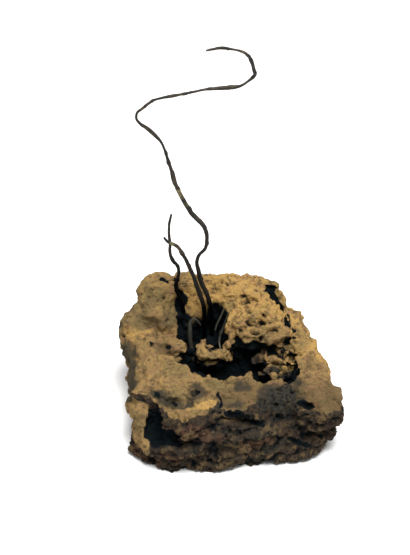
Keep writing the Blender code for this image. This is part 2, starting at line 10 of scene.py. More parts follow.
import bmesh
import bpy
import numpy as np
from bpy.props import FloatProperty, FloatVectorProperty, IntProperty, PointerProperty
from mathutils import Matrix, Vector


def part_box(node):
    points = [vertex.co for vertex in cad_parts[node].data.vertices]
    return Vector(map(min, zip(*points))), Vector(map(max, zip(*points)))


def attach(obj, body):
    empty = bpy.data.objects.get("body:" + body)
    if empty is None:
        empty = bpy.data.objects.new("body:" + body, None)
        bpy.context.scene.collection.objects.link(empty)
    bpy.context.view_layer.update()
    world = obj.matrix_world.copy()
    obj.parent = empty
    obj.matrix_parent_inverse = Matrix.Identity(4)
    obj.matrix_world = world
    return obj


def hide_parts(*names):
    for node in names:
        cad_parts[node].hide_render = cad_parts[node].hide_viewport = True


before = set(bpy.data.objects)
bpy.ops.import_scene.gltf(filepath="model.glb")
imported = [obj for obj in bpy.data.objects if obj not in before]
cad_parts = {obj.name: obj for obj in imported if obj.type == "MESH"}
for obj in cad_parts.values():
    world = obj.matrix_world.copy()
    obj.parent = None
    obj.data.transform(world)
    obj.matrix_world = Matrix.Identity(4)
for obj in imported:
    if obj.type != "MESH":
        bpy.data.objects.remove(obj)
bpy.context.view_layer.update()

bl_info = {
    "name": "Native silver wire",
    "version": (1, 0, 0),
    "blender": (4, 5, 0),
    "location": "View3D > Sidebar > Silver Wire",
    "description": "Makes a lump of vein rock with curling wires of native silver standing in its hollow",
    "category": "Add Mesh",
}

MM = 0.001

# ---- the rock's block: plan outlines seen from above, anticlockwise from the front left corner
TOP_OUTLINE = (
    (-20.6, -12.4), (-17.8, -14.8), (-14.6, -18.2), (-11.2, -20.0), (-7.2, -19.2), (-3.4, -17.0),
    (1.4, -18.6), (5.4, -15.6), (9.8, -12.0), (14.4, -10.8), (18.6, -12.8), (22.4, -13.2), (23.7, -9.6),
    (21.1, -3.6), (19.9, 2.0), (18.7, 5.8), (16.8, 10.0), (15.2, 17.6), (10.8, 19.4), (4.6, 19.9),
    (-2.6, 19.3), (-9.0, 19.7), (-16.2, 19.6), (-21.7, 19.0), (-23.8, 16.6), (-24.9, 12.8), (-24.9, 8.2),
    (-22.3, 4.0), (-21.3, 0.4), (-21.2, -4.0), (-21.8, -9.2))
BASE_OUTLINE = (
    (-21.7, -14.8), (-20.7, -19.0), (-16.4, -20.9), (-10.2, -21.4), (-5.8, -21.2), (0.0, -20.0), (6.0, -20.0),
    (12.0, -18.9), (16.8, -18.3), (19.6, -15.4), (20.6, -9.0), (19.6, 0.0), (18.0, 8.0), (16.4, 15.4),
    (12.4, 18.8), (4.0, 19.6), (-5.0, 18.8), (-13.0, 19.4), (-18.6, 17.2), (-21.8, 11.0), (-21.8, 3.0),
    (-21.4, -6.0))
# the height of the block's top at its middle and its slope to the back, the swell of the sides, how far
# the block goes on below the floor, how far its lower edge lifts and the circle of noise that it lifts by,
# how much its upper edge is rounded, and the shares of the way at which that starts and the base is level
PLATEAU_HEIGHT = 15.4
PLATEAU_RISE = 0.125
SIDE_BELLY = 0.8
BASE_DEPTH = 1.6
BASE_EDGE_LIFT = 0.9
BASE_EDGE_WAVES = 3.0
EDGE_ROUNDING = 1.1
EDGE_START = 0.92
BASE_RIM = 0.25

# name: centre, half widths, height at the centre, rise towards the back, squareness, flat share
MESAS = {
    "back ridge": ((-5.0, 20.0), (17.8, 9.5), 25.9, 0.08, 4.0, 0.3),
    "left hump": ((-17.0, 16.2), (7.0, 9.2), 25.4, 0.14, 3.8, 0.22),
    "corner block": ((9.2, 16.6), (3.2, 3.2), 23.8, 0.06, 3.0, 0.5),
    "crown of the dome": ((4.6, 18.6), (5.6, 6.0), 25.2, 0.1, 2.6, 0.3),
    "left rim": ((-22.8, 10.6), (3.6, 5.0), 18.8, 0.05, 2.4, 0.4),
    "apron shelf": ((2.0, -10.2), (5.0, 4.6), 15.4, 0.1, 2.4, 0.3),
    "apron left": ((-15.0, -8.0), (7.0, 6.0), 15.0, 0.12, 2.2, 0.3),
}

# name: stations of (x, y, z, radius) along the middle of what swells out of the block before it is cut
SWELLINGS = {
    "dome": ((5.4, 10.6, 17.0, 6.3), (6.8, 10.2, 17.0, 6.4)),
    "dome back": ((0.6, 15.2, 20.4, 4.4), (6.4, 15.0, 20.0, 4.7)),
    "dome left shoulder": ((1.8, 9.6, 17.4, 4.2), (3.0, 8.4, 16.8, 4.6)),
    "dome front lip": (
        (0.4, 5.8, 17.0, 1.8), (4.0, 4.6, 17.0, 2.2), (8.0, 4.8, 17.2, 2.2), (10.8, 6.4, 17.4, 1.9)),
    "left hump foot": ((-19.6, 12.2, 17.6, 3.6), (-15.6, 11.8, 17.8, 3.8), (-13.4, 12.0, 17.4, 2.8)),
    "right shoulder": ((16.0, -13.0, 9.6, 3.4), (20.2, -12.0, 9.4, 3.6)),
}

# name: stations of (x, y, z, radius) along the middle of what is cut away
HOLLOWS = {
    "back hole": (
        (-4.8, 9.2, 23.0, 4.0), (-4.9, 9.0, 18.0, 4.5), (-4.8, 8.2, 12.0, 4.6), (-4.6, 7.0, 8.6, 3.2)),
    "back hole left lobe": ((-9.6, 8.4, 21.0, 1.8), (-9.8, 7.4, 15.0, 2.6), (-8.6, 6.6, 10.5, 2.6)),
    "back hole rear lip": (
        (-4.4, 13.8, 25.4, 1.0), (-4.4, 13.1, 22.0, 1.4), (-4.6, 12.2, 17.0, 2.0), (-4.4, 11.0, 11.5, 2.4)),
    "gap right of the ridge": ((0.5, 3.6, 17.6, 0.8), (0.6, 3.2, 13.6, 1.6), (0.6, 3.0, 9.6, 2.2)),
    "gap left of the ridge": ((-9.6, 4.6, 16.6, 1.0), (-9.4, 3.2, 13.4, 1.4), (-9.0, 2.4, 11.0, 1.4)),
    "gap below the left lump": ((-14.0, 2.2, 15.4, 1.0), (-11.6, 1.4, 14.2, 1.5), (-9.0, 0.2, 12.8, 2.0)),
    "trench": (
        (-11.4, -0.2, 15.4, 1.3), (-8.0, -2.0, 14.0, 2.5), (-3.0, -2.9, 12.2, 3.6), (2.4, -2.4, 11.6, 4.3),
        (7.8, -3.2, 11.6, 4.6), (11.4, -4.0, 13.0, 3.0)),
    "trench mouth": (
        (-7.4, -3.2, 16.4, 2.0), (-1.0, -4.2, 16.6, 2.9), (5.0, -5.0, 16.6, 3.9), (11.6, -4.6, 16.4, 3.2)),
    "trench back": ((1.2, 1.4, 15.6, 1.9), (5.0, 0.8, 15.6, 2.4), (9.8, 0.6, 15.4, 2.4)),
    "hollow under the ridge": ((-7.4, 1.6, 10.6, 2.0), (-4.6, 1.8, 9.8, 2.4), (-1.6, 1.6, 10.2, 2.4)),
    "hollow under the dome": ((1.0, 2.8, 12.0, 2.9), (5.0, 3.4, 12.0, 3.2), (9.8, 2.4, 12.6, 2.8)),
    "corner notch": ((13.8, 18.4, 21.6, 1.7), (13.8, 14.8, 20.4, 1.6)),
    "front notch": (
        (-16.8, -14.4, 12.4, 1.7), (-16.8, -15.8, 9.6, 2.5), (-16.8, -18.2, 7.8, 2.5),
        (-16.9, -21.0, 7.6, 2.4)),
    "undercut above the pillar": (
        (-23.4, -9.6, 12.2, 0.9), (-21.6, -12.8, 12.5, 1.0), (-18.6, -14.6, 12.6, 1.1)),
    "undercut of the left lip": (
        (-12.8, -20.4, 11.4, 0.9), (-9.8, -21.8, 11.2, 1.0), (-6.2, -21.0, 11.6, 0.9)),
    "hollow under the lip": ((-2.0, -17.4, 12.2, 1.3), (0.4, -17.6, 11.9, 1.9), (3.0, -17.4, 11.5, 1.5)),
    "small hollow in the front": ((5.0, -17.8, 10.6, 1.2), (6.8, -17.5, 10.1, 1.3)),
    "apron hollow": ((-16.6, -12.6, 14.6, 1.5), (-13.4, -13.8, 13.8, 2.2), (-10.0, -13.6, 14.4, 1.6)),
    "apron dimple": ((-9.8, -11.0, 15.2, 1.4), (-8.0, -10.6, 15.2, 1.2)),
    "lip cleft": ((-3.2, -15.6, 15.2, 0.9), (-3.6, -18.6, 12.6, 1.2)),
    "right lip bay": ((6.6, -17.4, 13.6, 2.0), (10.6, -15.8, 13.8, 2.4), (14.0, -16.0, 13.0, 1.8)),
    "lower left crevice": (
        (-15.6, -18.6, 8.2, 1.6), (-12.8, -19.9, 8.2, 1.8), (-9.8, -20.9, 7.9, 1.5), (-7.0, -21.4, 7.5, 1.0)),
    "right hollow": ((14.6, -14.2, 12.8, 1.3), (17.2, -14.5, 12.5, 1.5)),
    "lower right crevice": (
        (10.6, -20.2, 6.6, 1.2), (12.0, -20.0, 3.6, 1.6), (15.6, -18.8, 4.6, 1.4), (20.0, -17.0, 5.0, 1.9)),
    "back ledge": ((-16.0, 22.6, 13.0, 2.0), (-4.0, 23.0, 10.5, 2.6), (8.0, 22.4, 12.5, 2.0)),
}
# hollows whose walls are not lined with black, and those in the sides, black only where they are deep and
# see little sky, as painted shade
BARE_HOLLOWS = ("apron hollow", "apron dimple", "lip cleft", "right lip bay", "back ledge")
SIDE_HOLLOWS = (
    "undercut above the pillar", "undercut of the left lip", "hollow under the lip",
    "small hollow in the front", "lower left crevice", "right hollow", "lower right crevice")

# name: stations of (x, y, z, half width) along narrow clefts, cut CREVICE_DEPTH times as deep as wide
CREVICES = {
    "left groove": (
        (-13.3, 19.4, 24.4, 0.8), (-12.8, 17.2, 23.2, 1.0), (-12.1, 14.8, 21.4, 1.2),
        (-11.4, 12.2, 19.2, 1.4), (-10.8, 9.8, 17.0, 1.6)),
    "right crevice": (
        (8.9, 15.0, 22.8, 1.3), (10.1, 14.2, 22.2, 2.0), (10.8, 12.6, 21.0, 2.0), (11.5, 11.0, 19.8, 1.7),
        (12.2, 8.8, 18.4, 1.3), (12.5, 6.2, 17.2, 1.1), (12.7, 4.2, 16.4, 0.9), (12.8, 2.0, 15.4, 0.8),
        (12.8, -2.0, 14.4, 0.8), (12.8, -4.6, 13.8, 1.0)),
    "slit on the left hump": ((-16.8, 16.0, 25.6, 0.5), (-14.6, 15.6, 25.4, 0.6)),
}
CREVICE_DEPTH = 2.4

# name: stations of (x, y, z, radius) along the middle of what stands in the hollows and on the rim
LUMPS = {
    "pillar between the hollows": ((-4.8, 7.2, 3.0, 2.3), (-4.8, 6.6, 9.0, 1.8), (-4.8, 4.8, 12.8, 1.5)),
    "ridge between the hollows": ((-6.7, 3.0, 13.6, 1.5), (-4.6, 2.8, 13.5, 1.8), (-1.3, 3.1, 13.7, 1.9)),
    "left knob": ((-6.6, 4.0, 14.8, 0.9), (-6.6, 4.2, 16.1, 0.8)),
    "right knob": ((-1.2, 3.5, 14.6, 1.3), (-1.0, 3.8, 15.5, 1.3)),
    "left lump": ((-14.2, 4.8, 15.2, 2.2), (-11.7, 4.1, 14.9, 2.3)),
    "point in the lip": ((3.4, -7.4, 13.0, 1.9), (3.4, -5.5, 13.8, 1.2)),
    "rubble bed": ((9.6, 0.4, 7.6, 3.6), (10.6, 0.2, 10.4, 3.0)),
    "rubble 1": ((7.0, -0.4, 10.8, 1.5), (8.2, -1.6, 12.0, 1.1)),
    "rubble 2": ((9.8, -2.8, 11.6, 1.5), (11.2, -2.4, 12.8, 1.1)),
    "rubble 3": ((8.2, 1.0, 12.6, 1.3), (9.8, 0.6, 13.8, 1.0)),
    "rubble 4": ((11.4, 0.6, 13.0, 1.4), (12.0, -0.8, 14.0, 1.0)),
    "rubble 5": ((6.0, 3.6, 11.8, 1.6), (7.2, 2.8, 13.2, 1.2)),
    "rubble 6": ((9.4, 3.6, 12.6, 1.6), (10.8, 3.0, 14.2, 1.2)),
    "rubble 7": ((7.6, 4.6, 12.8, 1.5), (8.4, 4.2, 14.0, 1.1)),
    "rubble 8": ((11.6, 3.4, 13.6, 1.6), (12.4, 2.2, 14.6, 1.1)),
    "root of the tall wires": ((-5.2, 13.6, 7.6, 3.0), (-5.2, 12.0, 11.0, 2.2)),
    "root of the left wire": ((-11.4, 14.2, 16.0, 1.9), (-11.2, 12.6, 18.4, 1.4)),
    "root in the left lobe": ((-9.0, 5.8, 7.4, 2.2), (-9.0, 6.4, 10.0, 1.6)),
}
# how the names of the lumps that stay in the dark begin: the others have bare upper sides
DARK_LUMPS = ("pillar", "rubble bed", "root")

# name: stations of (x, y, z, radius) of small swellings of the skin, besides the larger lumps
SMALL_LUMPS = {
    "behind the left groove": ((-13.8, 19.0, 23.2, 1.0), (-12.4, 18.8, 23.2, 1.0)),
    "corner of the left hump": (
        (-19.2, 15.0, 23.0, 1.2), (-18.8, 15.4, 24.5, 1.2), (-18.5, 17.8, 24.4, 1.2),
        (-18.9, 18.6, 23.3, 1.2)),
    "right knob of the centre lump": ((-1.1, 3.4, 14.6, 1.9), (-0.9, 3.3, 15.3, 1.9)),
    "rubble under the dome": ((7.0, 4.4, 14.6, 1.1), (8.2, 4.2, 14.7, 1.1)),
}

# stations of (x, y, z, radius) where the skin lies lower
TRIMMED = (((21.8, 2.2, 14.4, 1.2), (21.6, -0.8, 14.0, 1.2)),)

# stations of (x, y, z, radius) along small marks that are pressed into the rock's finished skin
MARKS = (
    ((-16.4, 15.6, 26.0, 0.3), (-14.2, 15.0, 25.8, 0.55)), ((2.9, 11.6, 22.8, 0.3), (3.9, 11.2, 22.7, 0.4)),
    ((4.7, 11.5, 22.9, 0.3), (5.5, 11.2, 22.9, 0.3)), ((2.8, 9.6, 22.3, 0.3), (3.4, 8.9, 22.2, 0.4)),
    ((3.4, 7.8, 22.2, 0.5), (4.2, 7.2, 22.2, 0.3)), ((6.4, 8.9, 23.0, 0.3), (7.3, 8.5, 23.0, 0.4)),
    ((2.9, 5.9, 20.6, 0.2), (4.6, 5.4, 20.2, 0.3)), ((5.4, 6.6, 20.9, 0.3), (6.2, 6.3, 20.6, 0.2)),
    ((6.9, 7.3, 21.6, 0.3), (7.2, 6.9, 21.3, 0.3)), ((6.5, 6.2, 20.2, 0.4), (7.2, 6.0, 20.0, 0.2)),
    ((1.5, 4.7, 19.3, 0.3), (2.2, 4.5, 19.1, 0.3)), ((3.9, 4.5, 19.2, 0.2), (5.4, 4.1, 18.8, 0.3)),
    ((9.2, 4.8, 19.5, 0.4), (9.8, 4.6, 19.3, 0.3)), ((2.0, 12.5, 23.3, 0.2), (2.8, 12.3, 23.3, 0.3)),
    ((13.6, 7.4, 17.3, 0.35), (14.0, 7.2, 17.2, 0.3)), ((13.7, 4.8, 16.6, 0.3), (14.2, 4.5, 16.5, 0.35)),
    ((14.8, 1.0, 15.6, 0.3), (15.3, 0.7, 15.5, 0.3)), ((12.3, 5.8, 16.9, 0.15), (12.8, 0.6, 15.8, 0.1)),
    ((-13.6, 16.4, 25.1, 0.2), (-12.4, 16.2, 25.0, 0.4)), ((-5.4, 2.4, 16.6, 0.6), (-4.2, 2.0, 16.2, 0.8)),
    ((-8.8, 3.0, 16.4, 1.0), (-7.9, 3.8, 16.8, 1.0)), ((-4.8, 3.6, 16.6, 1.0), (-3.4, 3.2, 16.2, 0.9)),
    ((15.0, -13.9, 12.8, 0.3), (16.6, -13.8, 12.1, 0.5)), ((-1.2, -17.0, 12.6, 0.4), (2.2, -17.4, 11.9, 0.6)),
    ((-8.8, 2.4, 15.6, 1.3), (-8.5, 1.2, 14.4, 1.2)),
    ((10.5, -17.1, 6.1, 0.3), (13.2, -16.8, 5.0, 0.6), (16.0, -16.8, 4.1, 0.4)),
    ((-21.2, 8.0, 17.0, 0.0), (-19.9, 7.4, 16.5, 0.1)), ((-15.0, 6.8, 16.5, 0.0), (-13.4, 7.8, 16.3, 0.2)),
    ((-18.9, 4.6, 16.0, 0.2), (-18.2, 4.3, 15.9, 0.3)),
    ((-16.0, -12.4, 13.6, 0.3), (-15.0, -12.6, 13.5, 0.4)),
    ((-8.4, -10.6, 13.4, 0.5), (-7.6, -10.2, 13.4, 0.5)), ((14.6, -6.4, 14.4, 0.1), (16.4, -8.6, 13.8, 0.2)))

# stations of (x, y, z, radius) of dark grey-green patches on the skin: painted shade in the shallow hollows
# of the apron and the lip, and darker patches on the right and along the left side under the rim
DARK_PATCHES_AND_SHADE = (
    ((-16.3, -11.8, 13.7, 1.3), (-15.0, -12.4, 13.4, 1.4)),
    ((-13.8, -12.5, 12.6, 1.6), (-10.2, -13.6, 12.2, 1.6)),
    ((-8.6, -11.0, 13.3, 1.6), (-7.2, -9.4, 13.5, 1.7)), ((8.5, -12.6, 13.4, 3.2), (11.8, -12.0, 13.0, 3.5)),
    ((13.0, -6.2, 14.6, 1.2), (15.4, -9.0, 13.6, 1.2)), ((-23.2, 5.4, 12.6, 2.7), (-22.6, -8.0, 11.4, 2.7)),
    ((1.0, -10.4, 14.8, 0.8), (2.4, -10.8, 14.8, 0.9)), ((-1.8, -14.0, 13.6, 1.3), (1.4, -14.8, 13.4, 1.2)))

# stations of (x, y, z, radius) of black patches beside the hollows and on the front, in crevices, pits and
# pressed marks: partly black rock and partly painted shade
BLACKENED_AND_SHADED = (
    ((-11.9, 15.2, 22.6, 0.7), (-11.0, 14.6, 21.6, 1.0), (-10.8, 13.9, 20.6, 0.9)),
    ((-11.9, 12.5, 19.7, 0.6), (-11.0, 11.7, 18.9, 0.8), (-9.8, 11.4, 18.0, 0.7)),
    ((9.4, 13.8, 22.4, 0.6), (10.4, 13.0, 21.2, 1.2), (11.2, 12.6, 19.4, 1.1)),
    ((11.9, 12.3, 17.6, 0.9), (12.2, 9.7, 17.3, 0.9), (12.4, 5.0, 18.0, 0.5)),
    ((-13.6, -12.5, 12.5, 0.1), (-12.3, -12.9, 11.9, 0.5), (-11.0, -13.8, 12.0, 0.1)),
    ((-16.9, -11.2, 13.9, 0.1), (-16.2, -11.8, 13.7, 0.3)),
    ((-8.0, -9.6, 13.5, 0.3), (-7.6, -10.0, 13.3, 0.5)),
    ((12.8, 14.1, 17.1, 0.3), (12.9, 10.1, 17.0, 0.35), (12.3, 4.0, 18.5, 0.1)),
    ((12.5, 4.8, 15.2, 0.3), (12.9, 1.9, 15.3, 0.2), (13.1, -1.0, 14.8, 0.2)),
    ((13.8, 8.8, 16.5, 0.6), (14.0, 8.2, 16.4, 0.6)), ((13.9, 5.4, 16.3, 0.6), (14.1, 4.9, 15.9, 0.6)),
    ((15.0, 1.5, 15.2, 0.2), (15.3, 1.2, 15.0, 0.25)), ((-14.5, 3.3, 15.9, 0.2), (-13.9, 3.0, 15.9, 0.35)),
    ((-18.2, 5.2, 15.8, 0.15), (-17.8, 4.9, 15.6, 0.25)), ((3.1, 8.6, 22.6, 0.2), (3.8, 7.8, 22.1, 0.35)),
    ((-3.2, -11.4, 13.5, 0.3), (-2.5, -12.8, 12.9, 0.4), (-2.6, -14.3, 12.5, 0.5)),
    ((-1.6, -16.9, 12.8, 0.7), (0.6, -17.2, 12.3, 1.2), (2.8, -17.4, 11.7, 0.7)),
    ((4.9, -17.6, 10.6, 0.6), (6.2, -17.2, 9.8, 0.8)),
    ((14.2, -13.6, 12.8, 0.3), (15.4, -13.9, 12.7, 0.5), (16.5, -13.8, 12.0, 0.7), (17.5, -13.5, 11.9, 0.4)),
    ((9.8, -17.3, 6.4, 0.5), (11.5, -16.9, 5.4, 0.7), (14.6, -16.7, 4.7, 0.8), (16.8, -16.8, 3.8, 0.6)),
    ((-5.4, 2.2, 16.6, 0.4), (-4.2, 1.8, 16.2, 0.6)), ((-13.8, 16.4, 25.1, 0.2), (-12.4, 16.2, 25.0, 0.6)),
    ((-16.4, 16.2, 25.6, 0.2), (-14.6, 15.2, 25.6, 0.5)))

# stations of (x, y, z, radius) of dull brown stretches of the skin, partly painted shade, and of bright
# yellow ones, partly painted light
# painted shade on the hump's lower front, the crease beside the left rim and the fronts of the lumps by the
# hollows
DULL_AND_SHADED = (
    ((-20.6, 9.7, 19.2, 1.2), (-18.3, 9.1, 18.5, 1.8), (-16.1, 8.1, 19.0, 1.8), (-13.8, 8.9, 18.7, 1.6)),
    ((17.4, -0.4, 14.9, 1.2), (17.0, -3.8, 14.9, 1.4), (19.6, -3.2, 14.4, 1.0)),
    ((-22.4, 10.0, 17.6, 0.9), (-22.6, 12.0, 19.5, 1.2), (-22.4, 16.5, 23.0, 1.2)),
    ((-17.9, -10.3, 14.2, 1.0), (-16.1, -12.6, 12.9, 1.4), (-13.8, -12.8, 12.3, 1.5),
     (-10.5, -13.6, 12.2, 1.2)),
    ((-1.9, -12.4, 13.1, 1.0), (-0.2, -13.4, 13.2, 1.4), (1.5, -14.6, 13.0, 1.0)),
    ((18.4, -13.0, 13.8, 2.0), (21.4, -13.0, 12.6, 2.4)), ((-6.4, -0.6, 13.0, 1.2), (-2.2, 0.8, 12.0, 1.4)),
    ((-16.6, 3.4, 15.6, 0.8), (-13.4, 2.4, 15.4, 1.0)))
# painted light: a painted highlight along the hump's foot and painted light on the wall beside the left
# groove
PALE_AND_LIT = (
    ((-21.2, 7.7, 17.0, 0.5), (-19.7, 7.7, 16.3, 0.8), (-18.1, 8.2, 16.8, 0.5)),
    ((-16.5, 7.1, 16.9, 0.2), (-15.2, 6.6, 16.4, 0.2)), ((-10.0, 14.2, 22.2, 1.2), (-8.4, 13.8, 20.6, 1.3)),
    ((-9.5, -15.5, 12.2, 1.0), (-6.5, -14.6, 12.5, 1.2), (-4.2, -13.4, 12.8, 0.8)),
    ((-23.6, 9.0, 17.2, 1.0), (-22.6, 6.0, 16.2, 0.8)),
    ((-6.6, 1.2, 15.6, 0.6), (-4.0, 0.2, 14.6, 0.7), (-1.4, 1.8, 14.4, 0.6)))

# stations of (x, y, z, radius) of rusty bands on the broken faces
RUSTED = (
    ((-13.4, -20.6, 10.2, 1.9), (-3.0, -21.0, 9.4, 2.2)), ((-14.6, -21.4, 4.4, 1.0), (-6.0, -21.8, 3.8, 1.1)),
    ((3.0, -20.0, 6.0, 1.4), (8.0, -19.4, 5.4, 1.6)), ((-21.4, -17.0, 2.0, 1.6), (-17.0, -20.0, 1.6, 1.6)))

# where the weathered skin ends at the front, from left to right: x and y of points LIP_HEIGHT up, and how
# far the line moves to the front for each millimetre up
LIP_LINE = (
    (-26.0, -8.0), (-23.6, -8.9), (-17.9, -12.6), (-16.0, -16.2), (-14.5, -17.9), (-12.4, -20.0),
    (-10.2, -20.9), (-7.1, -20.0), (-5.2, -17.4), (-3.6, -15.2), (-3.0, -12.9), (-2.4, -16.6), (-0.8, -18.4),
    (1.5, -18.3), (3.6, -16.2), (5.4, -14.0), (7.0, -11.4), (8.6, -9.2), (10.6, -7.9), (12.5, -7.5),
    (13.7, -13.6), (14.3, -17.6), (19.6, -17.9), (23.1, -17.2), (27.0, -14.0))
LIP_HEIGHT = 13.5
LIP_SLANT = 1.54

# depths below the top between which the weathered skin ends, and the greater ones on the right and front
SKIN_END, DEEP_SKIN_END = (3.9, 2.3), (8.2, 5.6)
# the x, the lower heights and the upper heights between which the skin of the corner pillar fades
PILLAR_SKIN = ((-17.6, -18.4), (2.2, 4.2), (13.0, 12.2))
# share of the way out beyond which a point counts as under the top's edge
TOP_REACH = 0.985

# ---- the black in the hollows, partly the rock's own and partly painted shade: depths in a hollow, a hollow
# of the sides and a lit lump between which it fades in or out, shares of sky between which it fades in as
# painted shade, and upright parts of the normal on lit lumps
LINING_REACH, SIDE_REACH, LIT_REACH = (-1.5, -0.5), (-0.9, -0.1), (-1.4, -0.5)
LINING_SHADE_SKY, SIDE_SHADE_SKY = (0.93, 0.74), (0.80, 0.50)
LIT_SLOPE = (-0.25, 0.35)

# name: centre and half widths of an oval seen from above, where in half widths it starts and ends to
# fade, and the heights between which it fades in
OVALS = {
    "dome": ((6.0, 7.5), (7.0, 6.5), (0.6, 1.0), (16.0, 18.0)),
    "crust": ((6.4, 7.6), (8.2, 7.4), (0.72, 1.02), (14.8, 16.4)),
    "rubble": ((9.4, 0.9), (5.0, 5.4), (0.8, 1.1), (16.2, 15.2)),
}

# ---- the wires: stations of (x, y, z, thickness) along each, from its root
WIRES = {
    "main_wire": (
        (-4.5, 12.0, 14.1, 1.0), (-4.5, 12.0, 17.4, 1.04), (-4.8, 12.0, 21.2, 1.07), (-5.7, 12.0, 24.4, 1.09),
        (-6.7, 11.7, 27.0, 1.07), (-7.4, 11.2, 30.7, 1.02), (-7.8, 10.8, 33.4, 0.89),
        (-7.3, 10.4, 35.5, 0.82), (-5.9, 9.8, 37.7, 0.82), (-5.6, 9.6, 39.6, 0.84), (-5.7, 9.8, 41.5, 0.84),
        (-6.2, 10.2, 42.9, 0.93), (-7.2, 10.8, 44.0, 1.02), (-8.6, 11.4, 45.1, 1.0), (-9.8, 12.0, 46.8, 0.96),
        (-11.1, 12.6, 49.0, 0.84), (-12.2, 13.1, 51.4, 0.8), (-13.0, 13.3, 54.5, 0.75),
        (-13.9, 13.1, 57.6, 0.66), (-14.5, 12.6, 60.3, 0.52), (-15.3, 11.8, 62.9, 0.55),
        (-16.7, 10.6, 65.4, 0.66), (-18.2, 9.2, 67.7, 0.61), (-19.6, 7.8, 69.6, 0.48),
        (-20.3, 6.9, 71.5, 0.41), (-20.0, 6.6, 72.8, 0.41), (-19.0, 6.7, 73.6, 0.46),
        (-17.8, 7.2, 74.5, 0.52), (-16.4, 7.8, 75.1, 0.59), (-14.9, 8.5, 75.2, 0.59),
        (-12.0, 9.8, 75.1, 0.61), (-8.7, 11.2, 75.1, 0.59), (-6.2, 12.2, 75.2, 0.61),
        (-3.7, 12.9, 75.1, 0.84), (-0.6, 13.3, 75.2, 0.82), (1.4, 13.3, 75.5, 0.5), (3.1, 12.9, 76.9, 0.64),
        (4.4, 12.2, 78.7, 0.55), (4.1, 11.4, 80.4, 0.5), (3.6, 10.4, 82.6, 0.5), (2.7, 9.2, 84.7, 0.48),
        (1.3, 8.0, 86.1, 0.41), (-0.8, 6.8, 87.2, 0.46), (-3.0, 5.8, 87.9, 0.48), (-4.5, 5.2, 87.9, 0.39),
        (-5.7, 4.8, 87.8, 0.32)),
    "crossing_wire": (
        (-6.1, 11.3, 14.0, 0.95), (-6.1, 11.1, 17.6, 0.98), (-6.3, 11.0, 21.6, 1.0), (-7.0, 10.7, 24.5, 1.0),
        (-7.8, 10.2, 27.5, 0.98), (-8.6, 9.5, 30.7, 0.93), (-9.3, 8.9, 32.9, 0.89), (-10.2, 8.1, 35.8, 0.86),
        (-11.1, 7.5, 37.9, 0.84), (-11.9, 7.1, 39.6, 0.82), (-13.0, 6.8, 40.6, 0.77),
        (-13.9, 6.7, 41.1, 0.71), (-14.5, 6.7, 41.7, 0.61), (-14.8, 6.7, 42.2, 0.5)),
    "left_wire": (
        (-11.1, 12.0, 20.8, 0.8), (-11.3, 12.0, 22.2, 0.8), (-12.1, 12.2, 24.0, 0.82),
        (-12.6, 12.2, 26.4, 0.82), (-12.1, 11.7, 28.6, 0.8), (-11.8, 11.0, 30.8, 0.77),
        (-12.1, 10.3, 32.7, 0.75), (-12.9, 9.7, 34.3, 0.73), (-13.5, 9.3, 35.9, 0.71),
        (-13.7, 9.0, 37.8, 0.68), (-13.6, 8.8, 39.6, 0.66), (-13.8, 8.8, 41.4, 0.64),
        (-13.8, 8.9, 43.1, 0.61), (-13.7, 9.0, 44.6, 0.64), (-13.3, 9.1, 46.5, 0.52)),
    "hollow_wire_left": (
        (-9.0, 6.6, 12.5, 0.9), (-9.3, 7.3, 14.2, 0.88), (-9.4, 8.4, 16.8, 0.84), (-9.2, 9.2, 18.6, 0.7),
        (-8.5, 9.4, 19.2, 0.55), (-7.6, 9.3, 18.6, 0.45), (-7.0, 9.0, 17.8, 0.38)),
    "hollow_wire_middle": (
        (-2.3, 11.4, 18.9, 0.45), (-2.7, 11.0, 18.1, 0.48), (-3.3, 10.5, 17.0, 0.42),
        (-3.7, 9.8, 15.8, 0.36)),
    "hollow_wire_right": (
        (-1.4, 10.0, 18.0, 0.5), (-1.9, 9.6, 16.6, 0.55), (-2.6, 8.8, 14.9, 0.55), (-2.8, 7.8, 13.6, 0.5),
        (-2.5, 6.8, 12.8, 0.42)),
}
# how far each wire goes on past its root, into the rock
ROOT_LENGTH = 2.2

# stations of (x, y, z, radius) round the stretches of the wires that are rubbed to gold
RUBBED = (
    ((-8.4, 11.3, 45.0, 0.1), (-9.8, 12.0, 46.8, 0.5), (-11.6, 12.8, 50.0, 0.9)),
    ((-12.4, 7.0, 40.0, 0.3), (-13.6, 6.7, 41.0, 0.4)))

# thickness of a wire's crust of tarnish at distances along it, as a factor, where it isn't even
TARNISH_BUILD = {
    "silver_main_wire": (
        (0.0, 0.92), (26.0, 0.92), (29.0, 1.14), (34.0, 1.05), (38.0, 0.95), (41.0, 1.1), (43.5, 1.2),
        (51.0, 1.2), (53.0, 1.0), (57.0, 1.1), (60.0, 1.35), (64.0, 1.4), (70.0, 1.45), (73.0, 0.9),
        (77.0, 1.2), (79.0, 0.75), (85.0, 0.85), (88.0, 1.05), (91.0, 1.5), (93.5, 0.9), (97.0, 1.3),
        (101.2, 1.7), (103.0, 1.0), (105.0, 1.7), (107.0, 1.1), (109.5, 1.35), (113.0, 1.15)),
    "silver_hollow_wire_left": ((0.0, 1.1), (8.0, 1.2), (10.0, 1.0)),
    "silver_hollow_wire_middle": ((0.0, 1.1), (5.0, 1.1)),
    "silver_hollow_wire_right": ((0.0, 1.15), (5.0, 1.2)),
}
EVEN_BUILD = ((0.0, 1.0), (1.0, 1.0))

# ---- how finely the pieces are made: faces round the block, rings on its top, sides and base, faces
# round what swells or is cut and the distance between its rings, the first skin's face width, the two
# rings on each domed end as angles from its pole, and the points that an outline is read at
BLOCK_SIDES = 112
BLOCK_RINGS = (26, 16, 8)
BLOB_SIDES = 16
BLOB_STEP = 0.9
SHAPING_VOXEL = 0.45
DOME_ANGLES = (28.0, 58.0)
OUTLINE_POINTS = 720

# how near the walls of the solid's box the rock starts to be held back
BOX_MARGIN = 0.5

